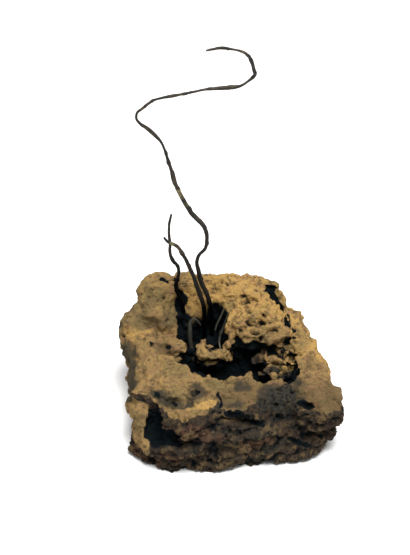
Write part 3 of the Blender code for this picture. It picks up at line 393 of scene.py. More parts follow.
# ---- the rock's relief: heights and depths of its parts, in millimetres
SWELL, LUMP, LEDGE, DOME_KNOB, TRIM = 0.7, 0.75, 1.1, 0.9, 1.3
COARSE_GRAIN, MIDDLE_GRAIN, FINE_GRAIN, STEEP_GRAIN = 0.26, 0.28, 0.16, 0.14
LAYER, CHIP, CHIP_CRACK, PIT, CRUMB = 0.6, 0.55, 0.4, 0.85, 0.3
KNOB, SMALL_KNOB, CREASE, HOLE = 0.6, 0.35, 0.4, 0.45
BLOCK, BLOCK_CRACK, MARK, BEND = 0.7, 0.8, 1.7, 0.55
# where its pits, holes and cracks start and end to fade, in widths of a cell
PIT_EDGE, HOLE_EDGE = (0.10, 0.30), (0.08, 0.26)
CHIP_EDGE, CREASE_EDGE, BLOCK_EDGE = (0.02, 0.16), (0.03, 0.20), (0.03, 0.26)
# how ledges, layers and chips are drawn out level: what each coordinate is multiplied by
LEDGE_SQUASH, LAYER_SQUASH, CHIP_SQUASH = (np.array([flat, flat, 1.0]) for flat in (0.22, 0.3, 0.6))
# upright parts of the normal between which steep skin turns level, and distances from a wire's root
# between which the relief fades in
LEVEL = (0.35, 0.75)
ROOT_FADE = (1.4, 3.4)
# how soft the edge of each kind of patch is and how far it wanders, in millimetres
PATCH_EDGES = {
    "trimmed": (1.2, 0.0), "blackened_and_shaded": (0.3, 0.45), "stain": (0.8, 1.0), "rusted": (0.8, 1.0),
    "dull": (1.0, 0.9), "bright": (0.4, 0.3), "rubbed": (0.4, 0.6),
}

# ---- the wires' furrows: strength, number round the wire, turn for each millimetre along it, and sway
FURROWS = ((1.0, 2.0, 0.32, 0.0), (0.7, 5.0, 0.5, 2.0), (0.5, 8.0, -0.2, 3.0))
# shares of the radius in a wire's slow swelling, fine roughness and knobs, and the noise where knobs start
WIRE_SWELL, WIRE_ROUGHNESS, WIRE_KNOBS, KNOB_START = 0.07, 0.06, 0.8, 0.35

# ---- the grid in which the light from the sky is worked out: width of a cell, first corner, cells along
# each axis, steps along each direction, and the number of directions at each tilt from upright
SKY_CELL = 0.8
SKY_LOW = np.array([-30.0, -27.0, -1.0])
SKY_COUNT = (75, 68, 42)
SKY_STEPS = 26
SKY_TILTS = {0.0: 1, 28.0: 6, 52.0: 9, 74.0: 10}
# how far out from the skin that light is read
SKY_STANDOFF = 1.3

# ---- the stage, in metres. Name: size and place of each light
LIGHTS = {"key": (0.34, (0.06, -0.12, 0.52)), "fill": (0.40, (0.35, 0.30, 0.40))}
LIGHT_TARGET = (-0.002, 0.0, 0.02)
CAMERA_TARGET = (-0.006, 0.019, 0.024)
CAMERA = {"lens": 120.0, "sensor_fit": "VERTICAL", "sensor_height": 36.0, "clip_start": 0.01}
FLOOR_HALF = 1.6
FLOOR_SHADE = 0.985

# sockets of the node that mixes colours: its share, its two colours, and the colour that it gives
MIX_SHARE, MIX_FIRST, MIX_SECOND, MIX_RESULT = 0, 6, 7, 2


# ---------------------------------------------------------------- numbers spread through space

# large odd numbers that stir whole numbers together, and the largest number of 32 bits
AXIS_STIR, SEED_STIR = (73856093, 19349663, 83492791), 6971
FIRST_STIR, SECOND_STIR = 1274126177, 2246822519
WORD = 0xFFFFFFFF


def lattice_value(cells, seed):
    """One repeatable number from 0 to 1 for each whole-number point of a lattice.

    Each coordinate and the seed are multiplied by large odd numbers and their bits are laid over each
    other; then the bits are shifted onto themselves and multiplied twice more.
    """
    mixed = np.bitwise_xor.reduce(cells * AXIS_STIR, axis=-1) ^ seed * SEED_STIR
    mixed = (mixed & WORD) * FIRST_STIR & WORD
    mixed = (mixed ^ mixed >> 15) * SECOND_STIR & WORD
    return (mixed ^ mixed >> 13) / WORD


def smooth_noise(points, size, seed):
    """Lattice values blended smoothly between the eight corners round each point, from -1 to 1."""
    scaled = points / size
    cells = np.floor(scaled).astype(np.int64)
    part = scaled - cells
    part = part * part * (3.0 - 2.0 * part)
    total = np.zeros(points.shape[:-1])
    for corner in itertools.product((0, 1), repeat=3):
        weight = np.prod(np.where(corner, part, 1.0 - part), axis=-1)
        total += weight * lattice_value(cells + np.array(corner), seed)
    return 2.0 * total - 1.0


def noises(points, *kinds):
    """Smooth noises added up, each given by its strength, its size in millimetres and its seed."""
    return sum(strength * smooth_noise(points, size, seed) for strength, size, seed in kinds)


def layered_noise(points, size, octaves, seed):
    """Smooth noise at one size and at half that size each further octave, half as strong each time."""
    return noises(points, *((0.5 ** k, size * 0.5 ** k, seed + k) for k in range(octaves)))


def cell_distances(points, size, seed):
    """Distances to the nearest and the second nearest of one scattered point in each lattice cell."""
    scaled = points / size
    cells = np.floor(scaled).astype(np.int64)
    nearest = second = np.full(points.shape[:-1], 9.0)
    for offset in itertools.product((-1, 0, 1), repeat=3):
        cell = cells + np.array(offset)
        centre = cell + np.stack([lattice_value(cell, seed + k) for k in range(3)], axis=-1)
        distance = np.linalg.norm(scaled - centre, axis=-1)
        second = np.minimum(second, np.maximum(nearest, distance))
        nearest = np.minimum(nearest, distance)
    return nearest, second


def smooth_step(low, high, value):
    """0 below low, 1 above high and an even S-curve between them."""
    share = np.clip((value - low) / (high - low), 0.0, 1.0)
    return share * share * (3.0 - 2.0 * share)


# ---------------------------------------------------------------- curves and surfaces

def chord_lengths(stations):
    """Straight distances from each station to the next."""
    return np.linalg.norm(np.diff(stations[:, :3], axis=0), axis=1)


def smooth_curve(stations, places):
    """Cubic curve through the stations, each at its chord length, read at the given lengths."""
    lengths = np.concatenate([[0.0], np.cumsum(chord_lengths(stations))])
    slopes = np.gradient(stations, lengths, axis=0)
    index = np.clip(np.searchsorted(lengths, places, side="right") - 1, 0, len(lengths) - 2)
    span = (lengths[index + 1] - lengths[index])[:, None]
    t = (places[:, None] - lengths[index][:, None]) / span
    near = (2 * t ** 3 - 3 * t ** 2 + 1) * stations[index]
    near += (t ** 3 - 2 * t ** 2 + t) * span * slopes[index]
    far = (3 * t ** 2 - 2 * t ** 3) * stations[index + 1]
    far += (t ** 3 - t ** 2) * span * slopes[index + 1]
    return near + far


def beyond(end, beside, length):
    """A station further out than the end by a length, straight away from the one beside it, as thick."""
    outward = (end - beside)[:3]
    return np.append(end[:3] + outward * length / np.linalg.norm(outward), end[3])


def carry_profile(stations, sides, step):
    """A round profile carried along the curve through the stations, with domed ends.

    Each ring lies across the curve. Near an end, at less than the end's radius from it, the ring's
    radius follows a circle down to nothing. Returns the middles, radii, spokes and places of the rings
    and the two poles.
    """
    heads = stations[[0, -1], 3]
    first, last = beyond(stations[0], stations[1], heads[0]), beyond(stations[-1], stations[-2], heads[1])
    stations = np.vstack([first, stations, last])
    total = chord_lengths(stations).sum()
    dome = 1.0 - np.cos(np.radians(DOME_ANGLES))
    middle = np.linspace(heads[0], total - heads[1], max(3, round(total / step)))
    places = np.concatenate([heads[0] * dome, middle, total - heads[1] * dome[::-1]])
    along = smooth_curve(stations, np.concatenate([[0.0], places, [total]]))
    near_end = np.minimum(places / heads[0], (total - places) / heads[1])
    radii = along[1:-1, 3] * np.sqrt(1.0 - (1.0 - np.clip(near_end, 0.0, 1.0)) ** 2)
    tangents = along[2:, :3] - along[:-2, :3]
    tangents /= np.linalg.norm(tangents, axis=1)[:, None]
    reference = np.eye(3)[np.argmin(np.abs(tangents).max(axis=0))]
    across = np.cross(tangents, reference)
    across /= np.linalg.norm(across, axis=1)[:, None]
    upward = np.cross(tangents, across)
    turn = np.linspace(0.0, 2.0 * math.pi, sides, endpoint=False)[:, None]
    spokes = np.cos(turn) * across[:, None, :] + np.sin(turn) * upward[:, None, :]
    return along[1:-1, :3], radii, spokes, places, along[0, :3], along[-1, :3]


def outline_reach(outline, azimuth):
    """Distance from the axis to a smooth closed outline, in each direction."""
    count = len(outline)
    laps = np.pad(np.tile(outline, (3, 1)), ((0, 0), (0, 1)))
    lengths = np.concatenate([[0.0], np.cumsum(chord_lengths(laps))])
    places = np.linspace(lengths[count], lengths[2 * count], OUTLINE_POINTS, endpoint=False)
    x, y, _ = smooth_curve(laps, places).T
    return np.interp(azimuth, np.arctan2(y, x), np.hypot(x, y), period=2.0 * math.pi)


def top_height(x, y):
    """Height of the block's top: a plateau that rises to the back, with steep-sided mesas on it."""
    height = PLATEAU_HEIGHT + PLATEAU_RISE * y
    for centre, half_widths, top, rise, squareness, flat_share in MESAS.values():
        across = np.abs(x - centre[0]) / half_widths[0]
        deep = np.abs(y - centre[1]) / half_widths[1]
        distance = (across ** squareness + deep ** squareness) ** (1.0 / squareness)
        crown = top + rise * (y - centre[1])
        share = 1.0 - smooth_step(flat_share, 1.0, distance)
        height = np.maximum(height, height + (crown - height) * share)
    return height


def block_rings(sides, rings):
    """The block as rings: over its top, down its sides with a belly, and in under its base."""
    azimuth = np.linspace(-math.pi, math.pi, sides, endpoint=False)
    direction = np.stack([np.cos(azimuth), np.sin(azimuth)], axis=-1)
    top_reach, base_reach = outline_reach(TOP_OUTLINE, azimuth), outline_reach(BASE_OUTLINE, azimuth)
    top_share, side_share = ((np.arange(count) + 1.0)[:, None] / count for count in rings[:2])
    plan = (top_share * top_reach)[..., None] * direction
    top = top_height(plan[..., 0], plan[..., 1]) - EDGE_ROUNDING * smooth_step(EDGE_START, 1.0, top_share)
    round_the_edge = np.column_stack([BASE_EDGE_WAVES * direction, np.zeros(sides)])
    edge_lift = BASE_EDGE_LIFT * (1.0 + smooth_noise(round_the_edge, 1.0, 5))
    side_reach = top_reach + (base_reach - top_reach) * side_share
    side_reach = side_reach + SIDE_BELLY * np.sin(math.pi * side_share)
    side_height = top[-1] + (edge_lift - top[-1]) * side_share
    base_share = (np.arange(rings[2]) + 1.0)[:, None] / (rings[2] + 1.0)
    under_height = -BASE_DEPTH + (edge_lift + BASE_DEPTH) * (1.0 - smooth_step(0.0, BASE_RIM, base_share))
    reach = np.vstack([np.linalg.norm(plan, axis=-1), side_reach, base_reach * (1.0 - base_share)])
    height = np.vstack([top, side_height, under_height])
    surface = np.dstack([reach[..., None] * direction, height[..., None]])
    return surface, np.array([0.0, 0.0, top_height(0.0, 0.0)]), np.array([0.0, 0.0, -BASE_DEPTH])


# ---------------------------------------------------------------- meshes

def link(name, data):
    """A new object in the scene that shows the data."""
    made = bpy.data.objects.new(name, data)
    bpy.context.scene.collection.objects.link(made)
    return made


def object_from_rings(name, rings, first, last):
    """A closed mesh from rings of points and one pole at each end, its faces pointing out."""
    count, sides = rings.shape[:2]
    vertices = np.vstack([rings.reshape(-1, 3), first, last]) * MM
    grid = np.arange(count * sides).reshape(count, sides)
    beside = np.roll(grid, -1, axis=1)
    quads = np.stack([grid[:-1], grid[1:], beside[1:], beside[:-1]], axis=-1).reshape(-1, 4)
    start_fan = np.stack([grid[0], beside[0], np.full(sides, count * sides)], axis=-1)
    end_fan = np.stack([beside[-1], grid[-1], np.full(sides, count * sides + 1)], axis=-1)
    mesh = bpy.data.meshes.new(name)
    mesh.from_pydata(vertices.tolist(), [], quads.tolist() + start_fan.tolist() + end_fan.tolist())
    editable = bmesh.new()
    editable.from_mesh(mesh)
    bmesh.ops.recalc_face_normals(editable, faces=editable.faces)
    editable.to_mesh(mesh)
    editable.free()
    return link(name, mesh)


def join(target, others):
    """Put the others' faces into the target's mesh."""
    joined = bmesh.new()
    for piece in (target, *others):
        joined.from_mesh(piece.data)
    joined.to_mesh(target.data)
    joined.free()
    for piece in others:
        bpy.data.objects.remove(piece)


def modify(target, kind, **settings):
    """Replace an object's mesh by what a modifier with the settings makes of it."""
    modifier = target.modifiers.new(kind, kind)
    for name, value in settings.items():
        setattr(modifier, name, value)
    evaluated = target.evaluated_get(bpy.context.evaluated_depsgraph_get())
    mesh = bpy.data.meshes.new_from_object(evaluated)
    target.modifiers.clear()
    target.data = mesh


def fuse(target, voxel):
    """Make one skin of even faces of all that overlaps in a mesh."""
    modify(target, "REMESH", mode="VOXEL", voxel_size=voxel * MM)


def add_blobs(target, places, depth=1.0):
    """Join a closed rounded body for each named line of stations to the target.

    A depth other than 1 stretches each ring upright about its middle, which makes a blade of the body.
    """
    blobs = []
    for name, stations in places.items():
        stations = np.array(stations, dtype=float)
        middles, radii, spokes, _, first, last = carry_profile(stations, BLOB_SIDES, BLOB_STEP)
        offsets = radii[:, None, None] * spokes
        offsets[..., 2] *= depth
        blobs.append(object_from_rings(name, middles[:, None, :] + offsets, first, last))
    join(target, blobs)


def read_points(mesh):
    """A mesh's vertices, in millimetres."""
    points = np.empty(len(mesh.vertices) * 3)
    mesh.vertices.foreach_get("co", points)
    return points.reshape(-1, 3) / MM


def read_normals(mesh):
    """A mesh's vertex normals."""
    normals = np.empty(len(mesh.vertices) * 3, dtype=np.float32)
    mesh.vertex_normals.foreach_get("vector", normals)
    return normals.reshape(-1, 3).astype(float)


def write_points(mesh, points):
    """Put a mesh's vertices where the points are, which are in millimetres."""
    mesh.vertices.foreach_set("co", (points * MM).ravel())
    mesh.update()


def write_attributes(mesh, **attributes):
    """Keep numbers for each vertex on the mesh, by name, for its material to read."""
    for name, values in attributes.items():
        attribute = mesh.attributes.new(name, "FLOAT", "POINT")
        attribute.data.foreach_set("value", np.asarray(values, dtype=np.float32))


def flatten_base(target):
    """Slice the rock off level at z = 0 and close it with a flat face."""
    sliced = bmesh.new()
    sliced.from_mesh(target.data)
    everything = sliced.verts[:] + sliced.edges[:] + sliced.faces[:]
    bmesh.ops.bisect_plane(
        sliced, geom=everything, dist=1e-7, plane_co=(0, 0, 0), plane_no=(0, 0, 1), clear_inner=True)
    rim = [edge for edge in sliced.edges if edge.is_boundary]
    bmesh.ops.triangle_fill(sliced, edges=rim, use_beauty=True, normal=(0, 0, -1))
    bmesh.ops.recalc_face_normals(sliced, faces=sliced.faces)
    sliced.to_mesh(target.data)
    sliced.free()


def keep_largest(target):
    """Drop every loose part of the mesh but the one with the most vertices."""
    loose = bmesh.new()
    loose.from_mesh(target.data)
    waiting, parts = set(loose.verts), []
    while waiting:
        part = [waiting.pop()]
        for vertex in part:
            beside = waiting.intersection(edge.other_vert(vertex) for edge in vertex.link_edges)
            waiting -= beside
            part.extend(beside)
        parts.append(part)
    parts.sort(key=len)
    bmesh.ops.delete(loose, geom=list(itertools.chain(*parts[:-1])), context="VERTS")
    loose.to_mesh(target.data)
    loose.free()


# ---------------------------------------------------------------- the rock's relief and its light

def bar_depth(points, stations, depth=1.0):
    """How far each point lies inside a round bar: its radius there less the distance to its middle line."""
    squash = np.array([1.0, 1.0, 1.0 / depth])
    stations = np.array(stations, dtype=float)
    deepest = np.full(points.shape[0], -99.0)
    for start, end in zip(stations[:-1], stations[1:]):
        line = (end[:3] - start[:3]) * squash
        from_start = (points - start[:3]) * squash
        share = np.clip(from_start @ line / (line @ line), 0.0, 1.0)
        distance = np.linalg.norm(from_start - share[:, None] * line, axis=1)
        deepest = np.maximum(deepest, start[3] + (end[3] - start[3]) * share - distance)
    return deepest


def nearest_bar(points, bars, depth=1.0):
    """How far each point lies inside the nearest of several round bars."""
    return np.max([bar_depth(points, stations, depth) for stations in bars], axis=0)


def patch_share(points, patches, kind):
    """1 in the middle of the patches, falling to 0 along edges that are soft and wander."""
    softness, wander = PATCH_EDGES[kind]
    drift = wander * noises(points, (0.9, 2.2, 223), (0.6, 0.8, 224))
    return smooth_step(-softness, softness, nearest_bar(points, patches) + drift)


def oval_share(points, name, wander=0.0):
    """1 inside one of the ovals seen from above, falling to 0 round it and out of its heights."""
    centre, half_widths, fade, heights = OVALS[name]
    distance = np.hypot(*((points[:, :2] - centre) / half_widths).T) + wander
    return (1.0 - smooth_step(*fade, distance)) * smooth_step(*heights, points[:, 2])


def away_from_roots(points):
    """0 at each wire's root, where the rock stays smooth, rising to 1 a few millimetres away."""
    roots = np.array([stations[0][:3] for stations in WIRES.values()])
    distances = np.linalg.norm(points - roots[:, None, :], axis=-1)
    return np.prod(smooth_step(*ROOT_FADE, distances), axis=0)


def steepness(normals):
    """1 where the skin is steep, 0 where it is level."""
    return 1.0 - smooth_step(*LEVEL, np.abs(normals[:, 2]))


def rock_relief(points, normals):
    """How far each point of the rock's skin first moves out along its normal.

    Broad swells and small lumps everywhere; level ledges where the skin is steep; and on the front
    half of the dome a crust of close knobs with pits between them. Trimmed places lie lower. It fades away
    at the wires' roots.
    """
    relief = SWELL * layered_noise(points, 7.0, 2, 11) + LUMP * layered_noise(points, 2.6, 2, 23)
    relief += steepness(normals) * LEDGE * layered_noise(points * LEDGE_SQUASH, 3.0, 2, 37)
    relief += oval_share(points, "dome") * DOME_KNOB * (0.55 - cell_distances(points, 2.7, 51)[0])
    relief -= TRIM * patch_share(points, TRIMMED, "trimmed")
    return relief * away_from_roots(points)


def crack(distances, edge):
    """1 along the borders between cells, falling to 0 away from them."""
    return 1.0 - smooth_step(*edge, distances[1] - distances[0])


def fine_relief(points, normals, weathered, rubble):
    """The grain of the rock on top of its first relief.

    Three sizes of noise everywhere. Broken steep faces split in thin level layers and hackly chips. Pits
    come in patches, each a bowl round a scattered point. The dome's crust is knobs of two sizes, the
    bowls of a cell pattern turned outwards, with creases between some of them and shallow round holes.
    The rubble is larger angular cells parted by deep creases. The marks are pressed in last.
    """
    steep = steepness(normals) * (1.0 - weathered)
    crust = oval_share(points, "crust", 0.22 * smooth_noise(points, 3.4, 171))
    bent = points + BEND * np.stack([smooth_noise(points, 1.6, 181 + k) for k in range(3)], axis=-1)
    fine = FINE_GRAIN + STEEP_GRAIN * steep
    grain = noises(points, (COARSE_GRAIN, 1.7, 101), (MIDDLE_GRAIN, 0.95, 102), (fine, 0.6, 103))
    layers = 1.0 - np.abs(smooth_noise(bent * LAYER_SQUASH, 1.3, 104))
    chips = cell_distances(bent * CHIP_SQUASH, 2.0, 111)
    grain += steep * (LAYER * (layers - 0.6) + CHIP * (0.45 - chips[0]))
    grain -= steep * CHIP_CRACK * crack(chips, CHIP_EDGE)
    pits = cell_distances(points, 1.9, 105)[0] + noises(points, (0.12, 0.8, 106))
    pitted = smooth_step(-0.45, 0.5, smooth_noise(points, 5.0, 108))
    grain -= PIT * pitted * (1.0 - smooth_step(*PIT_EDGE, pits))
    knobs, small_knobs = cell_distances(bent, 2.0, 121), cell_distances(bent, 0.9, 123)
    some = smooth_step(-0.5, 0.3, smooth_noise(points, 2.8, 122))
    holes = cell_distances(points, 2.5, 131)[0] + noises(points, (0.1, 0.9, 132))
    crusted = KNOB * (0.45 - knobs[0]) - CREASE * some * crack(knobs, CREASE_EDGE)
    grain += crust * (crusted + SMALL_KNOB * (0.5 - small_knobs[0]))
    grain -= crust * HOLE * (1.0 - smooth_step(*HOLE_EDGE, holes))
    blocks = cell_distances(bent, 2.4, 191)
    grain += rubble * (BLOCK * (0.5 - blocks[0]) - BLOCK_CRACK * crack(blocks, BLOCK_EDGE))
    grain += CRUMB * (0.5 - cell_distances(points, 1.15, 107)[0])
    pressed = nearest_bar(points, MARKS) + noises(points, (0.15, 0.7, 221))
    grain -= MARK * np.clip(pressed + 0.25, 0.0, 0.8)
    return grain * (0.35 + 0.65 * away_from_roots(points))


def block_depth(points):
    """How far each point lies inside the block: under its top or within its sides, whichever is less."""
    x, y, z = points.T
    azimuth = np.arctan2(y, x)
    top_reach, base_reach = outline_reach(TOP_OUTLINE, azimuth), outline_reach(BASE_OUTLINE, azimuth)
    edge_height = top_height(top_reach * np.cos(azimuth), top_reach * np.sin(azimuth)) - EDGE_ROUNDING
    share = np.clip(1.0 - z / edge_height, 0.0, 1.0)
    reach = top_reach + (base_reach - top_reach) * share + SIDE_BELLY * np.sin(math.pi * share)
    return np.minimum(np.minimum(top_height(x, y) - z, reach - np.hypot(x, y)), z)


def lining_and_shade_share(points, normals, sky):
    """1 where the rock is black, on the walls of the hollows, and 0 where it is bare: partly the black that
    lines them and partly painted shade.

    The black reaches a little past each hollow's wall and ends where the sky opens, as painted shade, which
    leaves the rims bare. The upper sides of the lumps in the hollows are bare too. Noise makes its edge
    wander.
    """
    wander = noises(points, (0.5, 1.6, 141), (0.3, 0.7, 142))
    lined = [bar for name, bar in HOLLOWS.items() if name not in BARE_HOLLOWS + SIDE_HOLLOWS]
    inside = np.maximum(nearest_bar(points, lined), nearest_bar(points, CREVICES.values(), CREVICE_DEPTH))
    # painted shade: the black fades in only where little of the sky is seen
    share = smooth_step(*LINING_REACH, inside + wander) * smooth_step(*LINING_SHADE_SKY, sky + 0.1 * wander)
    # the hollows of the sides are black only as painted shade, where they are deep and see little sky
    in_sides = nearest_bar(points, [HOLLOWS[name] for name in SIDE_HOLLOWS])
    shaded = smooth_step(*SIDE_SHADE_SKY, sky + 0.2 * wander)
    share = np.maximum(share, smooth_step(*SIDE_REACH, in_sides + 1.2 * wander) * shaded)
    lit = nearest_bar(points, [bar for name, bar in LUMPS.items() if not name.startswith(DARK_LUMPS)])
    lumps = smooth_step(*LIT_REACH, lit - 0.4 * wander)
    return share * (1.0 - lumps * smooth_step(*LIT_SLOPE, normals[:, 2]))


def weathered_share(points):
    """1 on the weathered ochre skin of the top, 0 on the freshly broken faces of the sides.

    It falls with the depth below the nearest point of the top, and past the lip line at the front, which
    moves to the front as it rises. The corner pillar and patches of the back keep the skin too.
    """
    x, y, z = points.T
    share = np.minimum(1.0, outline_reach(TOP_OUTLINE, np.arctan2(y, x)) * TOP_REACH / np.hypot(x, y))
    depth = top_height(x * share, y * share) - z + 1.1 * layered_noise(points, 3.0, 2, 151)
    deeper = np.maximum(smooth_step(14.0, 18.0, x + 0.3 * y), smooth_step(-4.0, -9.0, y))
    skin = np.maximum(smooth_step(*SKIN_END, depth), deeper * smooth_step(*DEEP_SKIN_END, depth))
    lip = np.interp(x, *np.transpose(LIP_LINE)) + noises(points, (1.3, 1.8, 155), (0.7, 0.7, 156))
    skin *= smooth_step(-0.6, 0.6, y + LIP_SLANT * (z - LIP_HEIGHT) - lip)
    out, up, down = PILLAR_SKIN
    pillar = smooth_step(*out, x) * smooth_step(*up, z) * smooth_step(*down, z)
    patches = smooth_step(-0.15, 0.25, layered_noise(points, 8.0, 2, 161)) * smooth_step(-2.0, 8.0, y)
    return np.maximum(skin, np.maximum(0.95 * pillar, 0.75 * patches))


def tone_and_light_share(points):
    """How pale the skin is, with painted light in it.

    Near 1 on the back right of the top, about a half on the left and near 0 at the front: painted light that
    falls off towards the front, with noise added. Then less on the dull stretches and more on the bright
    ones, partly painted shade and painted highlights.
    """
    x, y, _ = points.T
    # painted light: paler to the back right, darker to the front
    back = smooth_step(-13.0, -7.0, x) * smooth_step(3.0, 9.0, y)
    pale = np.maximum(back, 0.75 * smooth_step(11.0, 14.0, x) * smooth_step(-9.0, 0.0, y))
    front = smooth_step(-3.0, -12.0, y) * smooth_step(-16.0, 4.0, x)
    tone = np.clip(0.5 + 0.5 * pale - 0.5 * front + 0.2 * layered_noise(points, 4.0, 3, 175), 0.0, 1.0)
    return tone - 0.6 * patch_share(points, DULL_AND_SHADED, "dull") + 0.9 * patch_share(points, PALE_AND_LIT, "bright")


def sky_grid():
    """Share of the sky that each cell of a grid round the rock sees, from 0 to 1.

    The rock is rebuilt as an inside test: in the block or a swelling, out of every hollow, or in a
    lump. From each cell, directions at a few tilts from upright are followed through the grid.
    """
    axes = [SKY_LOW[k] + SKY_CELL * np.arange(SKY_COUNT[k]) for k in range(3)]
    points = np.stack(np.meshgrid(*axes, indexing="ij"), axis=-1).reshape(-1, 3)
    depth = np.maximum(block_depth(points), nearest_bar(points, SWELLINGS.values()))
    depth = np.minimum(depth, -nearest_bar(points, HOLLOWS.values()))
    depth = np.minimum(depth, -nearest_bar(points, CREVICES.values(), CREVICE_DEPTH))
    depth = np.maximum(depth, nearest_bar(points, LUMPS.values()))
    margin = SKY_STEPS + 1
    inside = np.pad((depth > 0.0).reshape(SKY_COUNT), margin)
    seen, weights = np.zeros(SKY_COUNT), 0.0
    for tilt, count in SKY_TILTS.items():
        flat, upright = math.sin(math.radians(tilt)), math.cos(math.radians(tilt))
        weight = upright / count
        for turn in np.arange(count) * 2.0 * math.pi / count + tilt:
            heading = np.array([flat * math.cos(turn), flat * math.sin(turn), upright])
            blocked = np.zeros(SKY_COUNT, dtype=bool)
            for step in range(1, SKY_STEPS):
                low = np.rint(heading * step).astype(int) + margin
                blocked |= inside[tuple(slice(low[k], low[k] + SKY_COUNT[k]) for k in range(3))]
            seen += weight * ~blocked
            weights += weight
    return seen / weights


def read_grid(grid, points):
    """The grid's value at each point, blended between the eight cells round it."""
    scaled = np.clip((points - SKY_LOW) / SKY_CELL, 0.0, np.array(SKY_COUNT) - 1.001)
    cells = np.floor(scaled).astype(int)
    part = scaled - cells
    total = np.zeros(len(points))
    for corner in itertools.product((0, 1), repeat=3):
        weight = np.prod(np.where(corner, part, 1.0 - part), axis=-1)
        total += weight * grid[tuple((cells + corner).T)]
    return total


# ---------------------------------------------------------------- finishes

class Value:
    """What a socket gives, which changes over a surface, with arithmetic that adds Math nodes."""

    def __init__(self, finish, socket):
        self.finish, self.socket = finish, socket

    def math(self, operation, first, second):
        return self.finish.node("Math", 0, {0: first, 1: second}, operation=operation)

    def __add__(self, other):
        return self.math("ADD", self, other)

    def __sub__(self, other):
        return self.math("SUBTRACT", self, other)

    def __rsub__(self, other):
        return self.math("SUBTRACT", other, self)

    def __mul__(self, other):
        return self.math("MULTIPLY", self, other)

    __radd__ = __add__
    __rmul__ = __mul__


class Finish:
    """One material being put together round its Principled shader."""

    def __init__(self, name):
        self.material = bpy.data.materials.new(name)
        self.material.use_nodes = True
        self.tree = self.material.node_tree

    def node(self, kind, output, inputs, **settings):
        """What a new node of a kind gives, its settings made first and its sockets fed after them."""
        made = self.tree.nodes.new("ShaderNode" + kind)
        for name, value in settings.items():
            setattr(made, name, value)
        self.feed(made, inputs)
        return Value(self, made.outputs[output])

    def feed(self, node, inputs):
        """Link a node's sockets to values that change, or set them to ones that don't."""
        for name, value in inputs.items():
            if isinstance(value, Value):
                self.tree.links.new(value.socket, node.inputs[name])
            else:
                node.inputs[name].default_value = value

    def shade(self, inputs):
        """Feed the shader, and give back the finished material."""
        self.feed(self.tree.nodes["Principled BSDF"], inputs)
        return self.material

    def place(self):
        """Where a point of the surface is, in the object's own coordinates."""
        return self.node("TexCoord", "Object", {})

    def attribute(self, name):
        """A number kept on the mesh's vertices."""
        return self.node("Attribute", "Fac", {}, attribute_name=name)

    def noise(self, where, size, detail, roughness=0.55, distortion=0.0):
        """Cloudy noise from 0 to 1 whose largest spots are about the size, in millimetres."""
        return self.node("TexNoise", "Fac", {
            "Vector": where, "Scale": 1.0 / (size * MM), "Detail": detail,
            "Roughness": roughness, "Distortion": distortion})

    def stretch(self, where, factors):
        """The place with each coordinate multiplied by a factor, which squeezes a pattern."""
        return self.node("VectorMath", 0, {0: where, 1: factors}, operation="MULTIPLY")

    def step(self, value, low, high):
        """0 where the value is below low, 1 above high, and an S-curve between."""
        inputs = {"Value": value, "From Min": low, "From Max": high}
        return self.node("MapRange", "Result", inputs, interpolation_type="SMOOTHSTEP")

    def paint(self, colour, *coats):
        """A colour with coats over it in turn, each a colour and the share that covers what is below."""
        for coat, share in coats:
            first, second = (each if isinstance(each, Value) else (*each, 1.0) for each in (colour, coat))
            inputs = {MIX_SHARE: share, MIX_FIRST: first, MIX_SECOND: second}
            colour = self.node("Mix", MIX_RESULT, inputs, data_type="RGBA")
        return colour

    def bump(self, height, distance, strength):
        """Relief in the shading, its full height the distance in millimetres."""
        inputs = {"Strength": strength, "Distance": distance * MM, "Height": height}
        return self.node("Bump", "Normal", inputs)


def colour_property(name, description, default):
    """A setting that holds a colour."""
    return FloatVectorProperty(
        name=name, description=description, default=default, subtype="COLOR", size=3, min=0.0, max=1.0)


class RockSettings(bpy.types.PropertyGroup):
    """Sizes and colours of the rock."""

    voxel: FloatProperty(
        name="Face width", description="Width of the rock's faces, in millimetres",
        default=0.33, min=0.2, max=2.0)
    fine_height: FloatProperty(
        name="Grain", description="How strong the grain, pits and knobs are",
        default=1.0, min=0.0, max=2.0, subtype="FACTOR")
    # sand is also the colour of the painted light on the top
    sand: colour_property("Sand", "Palest ochre of the weathered top", (0.335, 0.205, 0.066))
    ochre: colour_property("Ochre", "Main ochre of the weathered top", (0.205, 0.132, 0.053))
    # dun is also the colour of the painted shade on the top
    dun: colour_property("Dun", "Darker ochre of the top's front edge", (0.105, 0.070, 0.032))
    olive: colour_property("Olive", "Greenish stains on the top", (0.125, 0.097, 0.043))
    umber: colour_property("Umber", "Main brown of the broken faces", (0.034, 0.024, 0.016))
    rust: colour_property("Rust", "Reddish stains on the broken faces", (0.062, 0.034, 0.021))
    slate: colour_property("Slate", "Grey-green bands on the broken faces", (0.028, 0.026, 0.020))
    russet: colour_property("Russet", "Reddish blotches on the weathered top", (0.185, 0.098, 0.055))
    # black of the black grains and black walls of the hollows, and painted shade in hollows, pits, cracks and
    # where little sky is seen
    black_and_shade: colour_property("Black and shade", "Black lining of the hollows and crevices", (0.003, 0.0050, 0.0060))


class WireSettings(bpy.types.PropertyGroup):
    """Sizes and colours of the wires."""

    sides: IntProperty(name="Sides", description="Faces round each wire", default=20, min=8, max=48)
    step: FloatProperty(
        name="Step", description="Distance between rings along a wire, in millimetres",
        default=0.22, min=0.05, max=2.0)
    furrow: FloatProperty(
        name="Furrows", description="Depth of the long furrows, as a share of the radius",
        default=0.07, min=0.0, max=0.3, subtype="FACTOR")
    tarnish: colour_property("Tarnish", "Black-brown tarnish", (0.0145, 0.0115, 0.0085))
    brown: colour_property("Brown", "Thinner brown tarnish", (0.055, 0.040, 0.025))
    gold: colour_property("Gold", "Olive-gold patches where the tarnish is thinnest", (0.165, 0.142, 0.075))
    grey: colour_property("Grey", "Dull grey of the wires in the hollow", (0.085, 0.083, 0.062))
    # black of the tall wires' lower ends, which is painted shade where they go down into the dark hollow
    black_and_shade: colour_property("Black and shade", "Black of the tall wires' lower ends", (0.003, 0.003, 0.0035))


